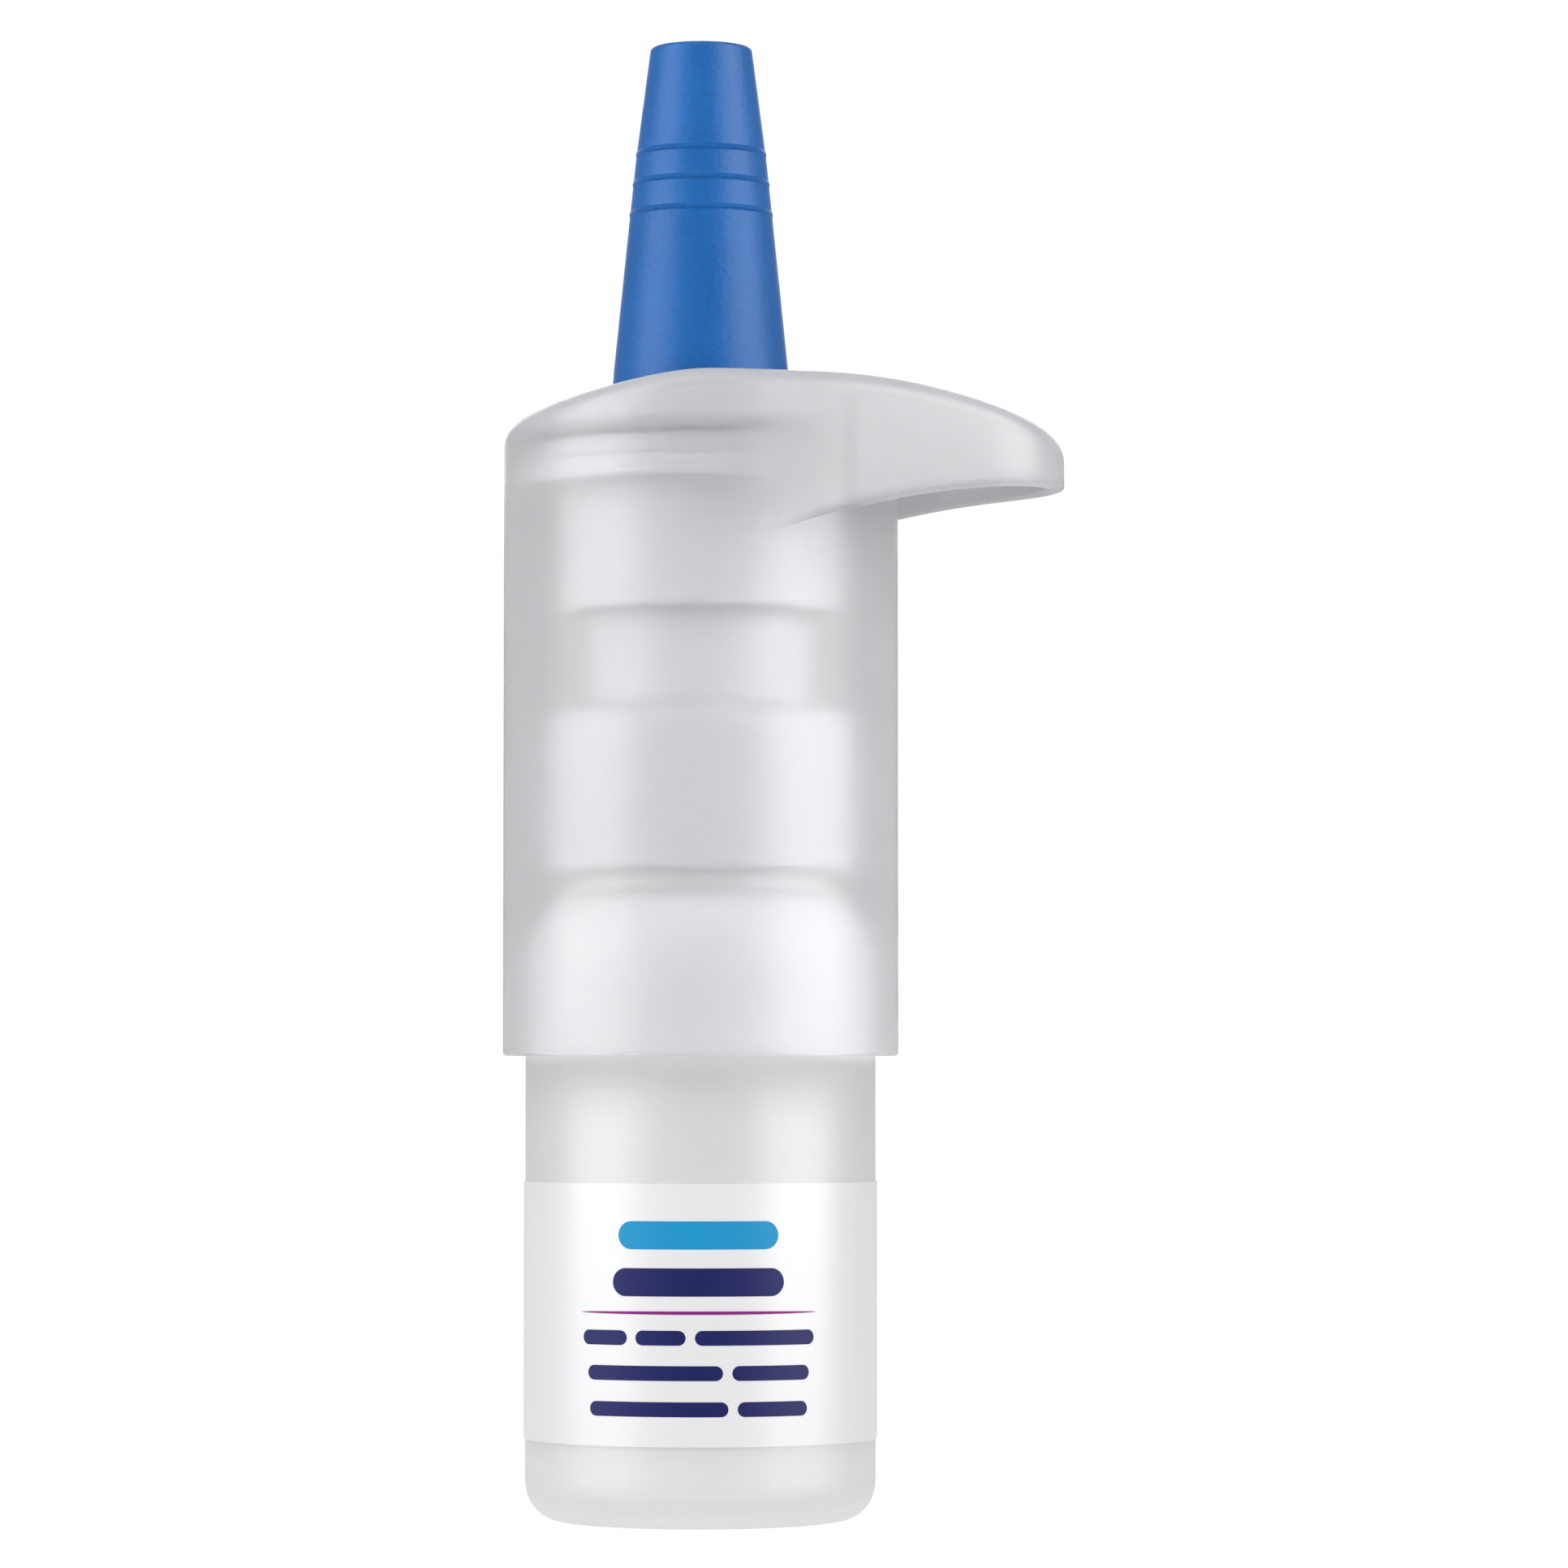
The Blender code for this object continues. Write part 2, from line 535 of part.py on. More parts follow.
def make_nozzle_carrier(frame, material):
    """Stepped flange, skirt and hub, with heights from the flange's underside."""
    step_z = CARRIER_FLANGE + CARRIER_STEP
    step_radius = CARRIER_RADIUS - CARRIER_STEP_INSET
    hub_top = HUB_TOP - CARRIER_Z
    pocket = NOZZLE_FLANGE_RADIUS + SLIDE_GAP
    web_z = WEB_Z - CARRIER_Z
    outline = [
        (SKIRT_BORE, 0),
        (SKIRT_BORE, -SKIRT_LENGTH),
        (SKIRT_RADIUS, -SKIRT_LENGTH),
        (SKIRT_RADIUS, 0),
        (CARRIER_RADIUS, 0),
        (CARRIER_RADIUS, CARRIER_FLANGE),
        (step_radius, CARRIER_FLANGE),
        (step_radius, step_z),
        (HUB_RADIUS, step_z),
        (HUB_RADIUS, hub_top),
        (pocket, hub_top),
        (pocket, hub_top - SEAL_POCKET_DEPTH),
        (NOZZLE_SOCKET, hub_top - SEAL_POCKET_DEPTH),
        (NOZZLE_SOCKET, SOCKET_Z - CARRIER_Z),
        (ROD_BORE, SOCKET_Z - CARRIER_Z),
        (ROD_BORE, web_z),
        (ROD_SOCKET, web_z),
        (ROD_SOCKET, -BOSS_LENGTH),
        (BOSS_RADIUS, -BOSS_LENGTH),
        (BOSS_RADIUS, 0),
    ]
    turned("nozzle_carrier", outline, material, frame, CARRIER_Z, WIDE_SIDES)


def make_nozzle_seal(frame, material):
    """A ring seal in the pocket round the nozzle's spigot."""
    middle = (SPIGOT_RADIUS + NOZZLE_FLANGE_RADIUS) / 2
    reach = (NOZZLE_SEAL_WIRE, NOZZLE_SEAL_WIRE)
    section = arc((middle, NOZZLE_SEAL_WIRE), reach, 0, 360, SEAL_SIDES)[:-1]
    turned("nozzle_seal", section, material, frame, HUB_TOP - SEAL_POCKET_DEPTH + SEAT_GAP)


def make_nozzle_tip(frame, material):
    """The dropper nozzle, with heights from its spigot's foot."""
    flange_z = HUB_TOP + SEAT_GAP - NOZZLE_Z
    top = NOZZLE_TOP - NOZZLE_Z
    root_z = flange_z + NOZZLE_FLANGE_HEIGHT
    cone_top = VALVE_SEAT_Z - NOZZLE_Z
    tip_middle = (NOZZLE_TIP_RADIUS - NOZZLE_ROUNDING, top - NOZZLE_ROUNDING)
    outline = [
        (NOZZLE_BORE, 0),
        (SPIGOT_RADIUS, 0),
        (SPIGOT_RADIUS, flange_z),
        (NOZZLE_FLANGE_RADIUS, flange_z),
        (NOZZLE_FLANGE_RADIUS, root_z),
        (NOZZLE_ROOT_RADIUS, root_z),
        *arc(tip_middle, (NOZZLE_ROUNDING, NOZZLE_ROUNDING), 0, 90),
        (ORIFICE_RADIUS, top),
        (ORIFICE_RADIUS, cone_top),
        (NOZZLE_BORE, cone_top - VALVE_CONE_HEIGHT),
    ]
    turned("nozzle_tip", outline, material, frame, NOZZLE_Z)


def make_outlet_pin(frame, material):
    """The valve pin. Its cone follows the seat in the nozzle, one gap below it."""
    rise = VALVE_CONE_HEIGHT / (NOZZLE_BORE - ORIFICE_RADIUS)
    cone_z = VALVE_SEAT_Z - (PIN_RADIUS + SLIDE_GAP - ORIFICE_RADIUS) * rise - PIN_Z
    tip_z = VALVE_SEAT_Z - (PIN_TIP_RADIUS + SLIDE_GAP - ORIFICE_RADIUS) * rise - PIN_Z
    outline = [
        (0, 0),
        (PIN_FOOT_RADIUS, 0),
        (PIN_FOOT_RADIUS, PIN_FOOT_HEIGHT),
        (PIN_RADIUS, PIN_FOOT_HEIGHT),
        (PIN_RADIUS, cone_z),
        (PIN_TIP_RADIUS, tip_z),
        (PIN_TIP_RADIUS, PIN_LENGTH),
        (0, PIN_LENGTH),
    ]
    turned("outlet_pin", outline, material, frame, PIN_Z, BALL_SIDES)


def cap_radius(drop):
    """The cap's outer radius at a distance below its top."""
    lower = CAP_HEIGHT - CAP_FOOT_HEIGHT - CAP_BREAK_DROP
    if drop <= CAP_BREAK_DROP:
        return CAP_TOP_RADIUS + (CAP_BREAK_RADIUS - CAP_TOP_RADIUS) * drop / CAP_BREAK_DROP
    share = min((drop - CAP_BREAK_DROP) / lower, 1)
    return CAP_BREAK_RADIUS + (CAP_FOOT_RADIUS - CAP_BREAK_RADIUS) * share


def make_cap(frame, material):
    """The tapered cap with its three fine rings, with heights from its lower edge."""
    outline = [(0, CAP_HEIGHT)]
    outline += arc((CAP_TOP_RADIUS - CAP_EDGE, CAP_HEIGHT - CAP_EDGE), (CAP_EDGE, CAP_EDGE), 90, 0)
    for i in range(RING_COUNT):
        middle = RING_DROP + i * RING_PITCH
        for drop, relief in (
            (middle - RING_WIDTH / 2, 0),
            (middle, RING_RELIEF),
            (middle + RING_WIDTH / 2, 0),
        ):
            outline.append((cap_radius(drop) + relief, CAP_HEIGHT - drop))
    outline += [
        (CAP_FOOT_RADIUS, CAP_FOOT_HEIGHT),
        (CAP_FOOT_RADIUS, 0),
        (CAP_BORE, 0),
        (CAP_BORE, CAP_FOOT_HEIGHT),
        (CAP_BREAK_RADIUS - CAP_WALL, CAP_HEIGHT - CAP_BREAK_DROP),
        (cap_radius(CAP_ROOF) - CAP_WALL, CAP_HEIGHT - CAP_ROOF),
        (0, CAP_HEIGHT - CAP_ROOF),
    ]
    turned("cap", outline, material, frame, CAP_Z, WIDE_SIDES)


def make_cap_insert(frame, material):
    """A soft plug under the cap's roof, which covers the orifice."""
    foot_radius = cap_radius(CAP_ROOF + SEAT_GAP + INSERT_HEIGHT) - CAP_WALL - RUN_GAP
    top_radius = cap_radius(CAP_ROOF) - CAP_WALL - RUN_GAP
    outline = [(0, 0), (foot_radius, 0), (top_radius, INSERT_HEIGHT), (0, INSERT_HEIGHT)]
    turned("cap_insert", outline, material, frame, INSERT_Z)


def roof_height(x):
    """Height of the sleeve's roof: level in the middle, falling to the back and to the rest's tip."""
    back = max(ROOF_KNEE_X - x, 0)
    ahead = max(x - REST_DROOP_X, 0)
    fall = ROOF_SLOPE_SHARE * (math.hypot(back, ROOF_KNEE) - ROOF_KNEE)
    return ROOF_Z - fall - REST_DROOP * (ahead / (REST_TIP_X - REST_DROOP_X)) ** 2


def rim_height(x):
    """Height of the finger rest's lower rim, an arc whose highest point is at the tip."""
    return RIM_Z - RIM_ARC_RADIUS + math.sqrt(RIM_ARC_RADIUS**2 - (REST_TIP_X - x) ** 2)


def rest_columns():
    """Where the sleeve's section is taken: (point on the outline seen from above, its normal, zone).

    The outline is the sleeve's circle and the tip's circle with the straight flanks between them.
    Zone 0 is the plain sleeve, 1 the solid root of a flank, and 2 the part with the hollow.
    """
    tip_x = REST_TIP_X - REST_TIP_RADIUS
    turn = math.acos((SLEEVE_RADIUS - REST_TIP_RADIUS) / tip_x)
    flank = math.sqrt(tip_x**2 - (SLEEVE_RADIUS - REST_TIP_RADIUS) ** 2)
    root = math.sqrt(SLEEVE_RADIUS**2 - (SLEEVE_RADIUS - REST_WALL) ** 2)
    normal = Vector((math.cos(turn), math.sin(turn)))
    along = Vector((math.sin(turn), -math.cos(turn)))
    half = []
    for i in range(TIP_COLUMNS // 2):
        angle = turn * i / (TIP_COLUMNS // 2)
        out = Vector((math.cos(angle), math.sin(angle)))
        half.append((Vector((tip_x, 0)) + out * REST_TIP_RADIUS, out, 2))
    for i in range(FLANK_COLUMNS):
        reach = flank + (root - flank) * i / FLANK_COLUMNS
        half.append((normal * SLEEVE_RADIUS + along * reach, normal, 2))
    for i in range(ROOT_COLUMNS):
        reach = root - root * i / ROOT_COLUMNS
        half.append((normal * SLEEVE_RADIUS + along * reach, normal, 1 if i else 2))
    for i in range(BACK_COLUMNS // 2 + 1):
        angle = turn + (math.pi - turn) * i / (BACK_COLUMNS // 2)
        out = Vector((math.cos(angle), math.sin(angle)))
        half.append((out * SLEEVE_RADIUS, out, 0))
    flip = Vector((1, -1))
    return half + [(point * flip, out * flip, zone) for point, out, zone in half[-2:0:-1]]


def sleeve_section(point, out, zone):
    """The points up one column of the sleeve: outside, under the rest, over the roof and back down."""
    inset = point - out * REST_WALL
    facing = inset.normalized()
    wall, bore, hole = (facing * radius for radius in (SLEEVE_RADIUS, SLEEVE_BORE, ROOF_HOLE))
    flank_x = SLEEVE_RADIUS * (SLEEVE_RADIUS - REST_TIP_RADIUS) / (REST_TIP_X - REST_TIP_RADIUS)
    under = (wall, rim_height(wall.x if zone else flank_x))
    foot = facing * (SLEEVE_RADIUS - SLEEVE_BEVEL)
    section = [(foot, SLEEVE_Z), (wall, SLEEVE_Z + SLEEVE_BEVEL), under]
    if zone == 2:
        section.append((wall, roof_height(wall.x) - REST_WALL))
        section.append((inset, roof_height(inset.x) - REST_WALL))
        section.append((inset, rim_height(inset.x)))
    else:
        section += [under] * 3
    section.append((point, rim_height(point.x if zone else flank_x)))
    for i in range(CORNER_STEPS + 1):
        angle = math.pi / 2 * i / CORNER_STEPS
        place = point - out * ROOF_EDGE * (1 - math.cos(angle))
        section.append((place, roof_height(place.x) - ROOF_EDGE * (1 - math.sin(angle))))
    edge = section[-1][0]
    for i in range(1, ROOF_RINGS + 1):
        place = edge.lerp(hole, i / ROOF_RINGS)
        section.append((place, roof_height(place.x)))
    for place in (hole, hole.lerp(bore, 0.5), bore):
        section.append((place, roof_height(place.x) - SLEEVE_WALL))
    return section + [(bore, SLEEVE_Z)]


def make_sleeve(frame, material):
    """The sleeve with its roof and hollow finger rest, as columns of points joined into faces."""
    shape = bmesh.new()
    known = {}

    def corner(place, level):
        """The one vertex at a place, so that points that fall together are shared."""
        key = tuple(round(value / WELD) for value in (place.x, place.y, level))
        if key not in known:
            known[key] = shape.verts.new((place.x, place.y, level - SLEEVE_Z))
        return known[key]

    columns = rest_columns()
    grid = [[corner(*spot) for spot in sleeve_section(*column)] for column in columns]
    first_hollow_row, last_hollow_row = 2, 4
    for i, column in enumerate(grid):
        following = (i + 1) % len(grid)
        hollow = columns[i][2] == 2 and columns[following][2] == 2
        other = grid[following]
        for row in range(len(column)):
            if first_hollow_row <= row <= last_hollow_row and not hollow:
                continue
            up = (row + 1) % len(column)
            loop = [column[row], other[row], other[up], column[up]]
            face = [v for k, v in enumerate(loop) if v not in loop[:k]]
            if len(face) > 2:
                shape.faces.new(face)
    bmesh.ops.recalc_face_normals(shape, faces=shape.faces)
    mesh = bpy.data.meshes.new("sleeve")
    shape.to_mesh(mesh)
    shape.free()
    mesh.shade_smooth()
    mesh.set_sharp_from_angle(angle=SHARP_ANGLE)
    add_object("sleeve", mesh, material, frame, SLEEVE_Z)


def main():
    for old in list(bpy.data.objects):
        bpy.data.objects.remove(old, do_unlink=True)

    white = finish("white_plastic", (238, 239, 241), 0.45)
    paper = finish("label_film", (250, 250, 251), 0.35)
    frosted = finish("frosted_plastic", (222, 224, 228), 0.5)
    blue = finish("blue_plastic", (43, 101, 175), 0.42)
    clear = finish("natural_plastic", (228, 232, 235), 0.3)
    rubber = finish("grey_rubber", (120, 124, 130), 0.7)
    steel = finish("spring_steel", (190, 192, 196), 0.25, 1.0)
    felt = finish("filter_felt", (225, 222, 210), 0.9)

    bottle_frame = body_frame("bottle_frame", 0)
    spring_frame = body_frame("spring_frame", SPRING_Z, bottle_frame)
    head_frame = body_frame("head_frame", CARRIER_Z, spring_frame)
    cap_frame = body_frame("cap_frame", CAP_Z, head_frame)
    pin_frame = body_frame("pin_frame", PIN_Z, head_frame)
    ball_frame = body_frame("ball_frame", BALL_Z, bottle_frame)

    make_bottle(bottle_frame, white)
    make_label(bottle_frame, paper)
    make_gasket(bottle_frame, rubber)
    make_pump_housing(bottle_frame, white)
    make_vent_filter(bottle_frame, felt)
    make_inlet_seat(bottle_frame, clear)
    make_ball_cage(bottle_frame, clear)
    make_rod_guide(bottle_frame, clear)
    make_closure_collar(bottle_frame, white)
    make_inlet_ball(ball_frame, steel)

    coil(
        "return_spring", SPRING_RADIUS, SPRING_WIRE, SPRING_TURNS, CARRIER_Z - SEAT_GAP - SPRING_Z,
        SPRING_POINTS, steel, spring_frame, SPRING_Z,
    )

    make_sleeve(head_frame, frosted)
    make_nozzle_carrier(head_frame, white)
    make_piston(head_frame, clear, rubber)
    make_nozzle_seal(head_frame, rubber)
    make_nozzle_tip(head_frame, clear)
    coil(
        "outlet_spring", OUTLET_SPRING_RADIUS, OUTLET_SPRING_WIRE, OUTLET_SPRING_TURNS,
        PIN_Z - SEAT_GAP - NOZZLE_Z, OUTLET_SPRING_POINTS, steel, head_frame, NOZZLE_Z,
    )
    make_outlet_pin(pin_frame, clear)

    make_cap(cap_frame, blue)
    make_cap_insert(cap_frame, rubber)


main()
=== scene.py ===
# %% [markdown]
# # A pump eye drop bottle
#
# The white bottle holds the drops. A frosted sleeve slides over its neck and ends in a hood, where
# two fingers pull while the thumb presses the base. Inside the sleeve sit a collar, a pump and the
# nozzle's carrier, all seen blurred through the frosted wall. A long blue cap covers the nozzle.
#
# This script gives those pieces their fine shapes and finishes, and never moves them. Lengths are
# in metres, with `MM` for a millimetre.

# %% The frame
import json
import math

import bmesh
import bpy
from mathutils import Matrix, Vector
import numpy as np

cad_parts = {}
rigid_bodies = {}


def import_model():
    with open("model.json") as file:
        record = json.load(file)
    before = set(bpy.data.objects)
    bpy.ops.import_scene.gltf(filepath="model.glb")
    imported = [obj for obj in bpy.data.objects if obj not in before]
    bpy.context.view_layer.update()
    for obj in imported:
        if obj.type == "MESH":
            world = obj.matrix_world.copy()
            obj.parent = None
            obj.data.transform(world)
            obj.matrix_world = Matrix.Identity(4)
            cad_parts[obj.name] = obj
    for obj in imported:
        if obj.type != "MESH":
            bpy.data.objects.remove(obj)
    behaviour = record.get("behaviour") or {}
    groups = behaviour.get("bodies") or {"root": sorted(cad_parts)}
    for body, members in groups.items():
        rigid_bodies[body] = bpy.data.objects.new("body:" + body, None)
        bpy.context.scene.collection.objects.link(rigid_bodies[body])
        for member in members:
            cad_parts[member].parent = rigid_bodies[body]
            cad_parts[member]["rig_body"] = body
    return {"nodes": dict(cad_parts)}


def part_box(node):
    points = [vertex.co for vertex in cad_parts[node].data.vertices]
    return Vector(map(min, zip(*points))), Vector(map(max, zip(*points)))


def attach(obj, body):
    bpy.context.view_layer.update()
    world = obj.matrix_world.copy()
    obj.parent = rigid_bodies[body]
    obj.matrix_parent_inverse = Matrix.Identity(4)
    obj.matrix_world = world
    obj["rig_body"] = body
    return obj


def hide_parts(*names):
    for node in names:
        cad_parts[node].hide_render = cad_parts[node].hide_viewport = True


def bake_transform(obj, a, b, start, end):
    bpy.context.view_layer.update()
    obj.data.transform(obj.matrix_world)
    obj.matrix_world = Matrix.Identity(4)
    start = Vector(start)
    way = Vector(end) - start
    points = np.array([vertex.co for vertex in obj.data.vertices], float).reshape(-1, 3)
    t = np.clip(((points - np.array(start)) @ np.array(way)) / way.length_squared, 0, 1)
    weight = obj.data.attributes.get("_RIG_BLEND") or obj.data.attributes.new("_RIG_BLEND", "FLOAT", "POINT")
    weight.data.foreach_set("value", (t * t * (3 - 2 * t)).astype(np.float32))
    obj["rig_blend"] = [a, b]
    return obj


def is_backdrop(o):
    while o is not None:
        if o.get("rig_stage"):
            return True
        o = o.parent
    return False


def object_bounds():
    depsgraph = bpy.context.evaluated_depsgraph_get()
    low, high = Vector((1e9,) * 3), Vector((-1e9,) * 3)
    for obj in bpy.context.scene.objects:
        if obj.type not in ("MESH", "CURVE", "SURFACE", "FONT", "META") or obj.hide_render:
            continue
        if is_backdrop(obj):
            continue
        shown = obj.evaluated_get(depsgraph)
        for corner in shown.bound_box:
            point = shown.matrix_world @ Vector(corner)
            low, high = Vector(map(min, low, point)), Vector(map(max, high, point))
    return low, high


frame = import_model()
cad_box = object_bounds()
MM = 0.001
tallest = cad_box[1].z
print("The frame holds", len(frame["nodes"]), "pieces, up to", round(tallest / MM, 1), "mm high")

# %% [markdown]
# ## The camera
#
# The photograph was taken from a little under half the bottle's height, looking slightly up: the
# label's lower edge curves down and the hood is seen from below. One pixel's real width at the
# axis and the camera's distance give the lens, so the pieces land where the photograph has them.

# %% Camera
IMAGE_SIDE = 1932                # pixels
AXIS_PIXEL = 863.5               # where the bottle's axis stands in the image
PIXEL = 0.0535 * MM
CAMERA_DISTANCE = 414.6 * MM
CAMERA_HEIGHT = 29.2 * MM
AIM_HEIGHT = 48.3 * MM

aim = Vector(((IMAGE_SIDE / 2 - AXIS_PIXEL) * PIXEL, 0, AIM_HEIGHT))
camera = bpy.data.objects.new("camera", bpy.data.cameras.new("camera"))
bpy.context.scene.collection.objects.link(camera)
camera.location = (aim.x, -CAMERA_DISTANCE, CAMERA_HEIGHT)
sight = aim - camera.location
camera.rotation_euler = sight.to_track_quat("-Z", "Y").to_euler()
camera.data.lens = camera.data.sensor_width * sight.length / (IMAGE_SIDE * PIXEL)
camera.data.clip_start = 10 * MM
bpy.context.scene.camera = camera
print("The lens is", round(camera.data.lens, 1), "mm")

# %% [markdown]
# ## Node trees written as sums
#
# Shader trees and Geometry Nodes trees are made of the same parts: nodes, and wires between them.
# `Wire` stands for one output, and Python's own signs add Math nodes behind it. Every other node
# comes from `Tree.node`, which takes its type, its settings and what goes into its sockets.

# %% Wires and trees
class Wire:
    """One output socket, so that maths on it can be written as a sum."""

    def __init__(self, tree, socket):
        self.tree, self.socket = tree, socket

    def maths(self, operation, *others):
        return self.tree.maths(operation, self, *others)

    def __add__(self, other):
        return self.tree.maths("ADD", self, other)

    def __radd__(self, other):
        return self.tree.maths("ADD", other, self)

    def __sub__(self, other):
        return self.tree.maths("SUBTRACT", self, other)

    def __rsub__(self, other):
        return self.tree.maths("SUBTRACT", other, self)

    def __mul__(self, other):
        return self.tree.maths("MULTIPLY", self, other)

    def __rmul__(self, other):
        return self.tree.maths("MULTIPLY", other, self)

    def __truediv__(self, other):
        return self.tree.maths("DIVIDE", self, other)

    def __rtruediv__(self, other):
        return self.tree.maths("DIVIDE", other, self)

    def __mod__(self, other):
        return self.tree.maths("MODULO", self, other)

    def __rmod__(self, other):
        return self.tree.maths("MODULO", other, self)

    def between(self, least, most):
        return self.maths("MAXIMUM", least).maths("MINIMUM", most)

    def parts(self):
        """The X, Y and Z of a vector."""
        split = self.tree.node("ShaderNodeSeparateXYZ", {}, {"Vector": self})
        return [Wire(self.tree, output) for output in split.socket.node.outputs]


class Tree:
    """A node tree that hands out its nodes' outputs as wires."""

    def __init__(self, nodes, links):
        self.nodes, self.links = nodes, links

    def node(self, kind, settings, inputs, output=0):
        made = self.nodes.new(kind)
        for name, value in settings.items():
            setattr(made, name, value)
        self.fill(made, inputs)
        return Wire(self, made.outputs[output])

    def fill(self, node, inputs):
        for name, value in inputs.items():
            if isinstance(value, Wire):
                self.links.new(value.socket, node.inputs[name])
            else:
                node.inputs[name].default_value = value

    def maths(self, operation, *values):
        return self.node("ShaderNodeMath", {"operation": operation}, dict(enumerate(values)))


# %% [markdown]
# ## Light and floor
#
# The photograph's ground is pure white, yet the plastic's edges are grey, so little light comes
# from behind. The world is a soft grey for the object and white for the camera alone. The bright
# bands along the sleeve mirror two tall softboxes, one on each side, the right one stronger. A
# third box, above and ahead, lights the hood, and a weak one behind gives the edges a little
# shine. The side boxes and the one behind show only as shine, so the soft light on the plastic
# comes from the world, the floor and the top box. The floor is a light table: a pale sheet that
# glows a little, so the base casts only a faint shadow.
#
# A bare softbox behind a frosted wall would burn it out. For a ray that has gone straight through
# the sleeve, each box is therefore no brighter than the world. For a ray that then met the parts
# inside, it is a little weaker than for the outside.

# %% World, floor and softboxes
WHITE = (1, 1, 1, 1)
WORLD_TINT = (0.985, 0.99, 1, 1)
WORLD_LIGHT = 0.6                # what the world gives, and what glossy surfaces mirror of it
WORLD_GLOSS = 0.45
WORLD_SEEN = 1.05                # the white ground that the camera sees
FLOOR_SIDE = 4.0
FLOOR_DROP = 0.02 * MM
FLOOR_SEEN = 0.85                # what the camera sees of the floor, and what the bottle gets
FLOOR_GIVEN = 0.65
FLOOR_GREY = 0.3
THROUGH_SLEEVE = 0.85            # the share of a softbox that reaches the parts inside

scene = bpy.context.scene
scene.view_settings.view_transform = "Standard"
world = bpy.data.worlds.new("studio")
scene.world = world
world.use_nodes = True
studio = Tree(world.node_tree.nodes, world.node_tree.links)
glossy = studio.node("ShaderNodeLightPath", {}, {}, "Is Glossy Ray")
surround = studio.node("ShaderNodeBackground", {}, {
    "Color": WORLD_TINT, "Strength": WORLD_LIGHT + (WORLD_GLOSS - WORLD_LIGHT) * glossy,
})
backdrop = studio.node("ShaderNodeBackground", {}, {"Color": WHITE, "Strength": WORLD_SEEN})
by_camera = studio.node("ShaderNodeLightPath", {}, {}, "Is Camera Ray")
ground = studio.node("ShaderNodeMixShader", {}, {0: by_camera, 1: surround, 2: backdrop})
studio.fill(world.node_tree.nodes["World Output"], {"Surface": ground})

sheet = bpy.data.meshes.new("floor")
half = FLOOR_SIDE / 2
corners = [(x * half, y * half, -FLOOR_DROP) for x, y in ((-1, -1), (1, -1), (1, 1), (-1, 1))]
sheet.from_pydata(corners, [], [(0, 1, 2, 3)])
floor = bpy.data.objects.new("floor", sheet)
scene.collection.objects.link(floor)
floor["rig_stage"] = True
pale = bpy.data.materials.new("light_table")
pale.use_nodes = True
table = Tree(pale.node_tree.nodes, pale.node_tree.links)
by_camera = table.node("ShaderNodeLightPath", {}, {}, "Is Camera Ray")
table.fill(table.nodes["Principled BSDF"], {
    "Base Color": (FLOOR_GREY, FLOOR_GREY, FLOOR_GREY, 1), "Roughness": 0.9,
    "Specular IOR Level": 0, "Emission Color": WHITE,
    "Emission Strength": FLOOR_GIVEN + (FLOOR_SEEN - FLOOR_GIVEN) * by_camera,
})
sheet.materials.append(pale)


def softbox(name, azimuth, height, distance, width, tall, radiance):
    """An area light aimed at the bottle, its azimuth measured from the camera's side."""
    light = bpy.data.lights.new(name, "AREA")
    light.shape = "RECTANGLE"
    light.size, light.size_y = width, tall
    light.energy = radiance * math.pi * width * tall
    light.use_nodes = True
    lamp = Tree(light.node_tree.nodes, light.node_tree.links)
    passed, scattered, mirrored = [     # 1 for a ray with any bounce of that kind
        lamp.node("ShaderNodeLightPath", {}, {}, kind + " Depth").maths("GREATER_THAN", 0.5)
        for kind in ("Transmission", "Diffuse", "Glossy")
    ]
    straight = WORLD_LIGHT / radiance
    dimmed = straight + (THROUGH_SLEEVE - straight) * scattered
    lamp.fill(lamp.nodes["Emission"], {"Strength": 1 + (dimmed - 1) * passed * (1 - mirrored)})
    box = bpy.data.objects.new(name, light)
    scene.collection.objects.link(box)
    turn = math.radians(azimuth)
    box.location = (distance * math.sin(turn), -distance * math.cos(turn), height)
    box.rotation_euler = (aim - box.location).to_track_quat("-Z", "Y").to_euler()
    return box


left_box = softbox("left_softbox", azimuth=-66, height=130 * MM, distance=320 * MM,
                   width=0.3, tall=0.5, radiance=5.6)
right_box = softbox("right_softbox", azimuth=68, height=130 * MM, distance=320 * MM,
                    width=0.3, tall=0.5, radiance=7.0)
back_box = softbox("back_softbox", azimuth=180, height=200 * MM, distance=400 * MM,
                   width=0.3, tall=0.2, radiance=2.0)
softbox("top_softbox", azimuth=-15, height=520 * MM, distance=260 * MM, width=0.34, tall=0.24,
        radiance=3.6)
for shine in (left_box, right_box, back_box):
    shine.visible_diffuse = False
back_box.visible_transmission = False
lights = [thing for thing in scene.objects if thing.type == "LIGHT"]
print("World, floor and", len(lights), "softboxes are set")


# %% [markdown]
# ## Finishes
#
# Each finish starts from a Principled shader. What varies over the surface is worked out from the
# Object coordinates, which lie in the same frame for every piece, so nothing slides when a piece
# moves. A moulded surface is never quite even: its gloss changes in broad patches and it carries a
# fine grain from the mould, so both go into every plastic.

# %% Helpers for finishes
PATCH = 5 * MM                   # how wide the patches of gloss are
GRAIN_DETAIL = 3.0


def screen(red, green, blue):
    """A screen's colour, from 0 to 255, in the shader's own linear numbers (the sRGB curve)."""
    shares = [c / 255 for c in (red, green, blue)]
    return (*[((c + 0.055) / 1.055) ** 2.4 if c > 0.04 else c / 12.92 for c in shares], 1)


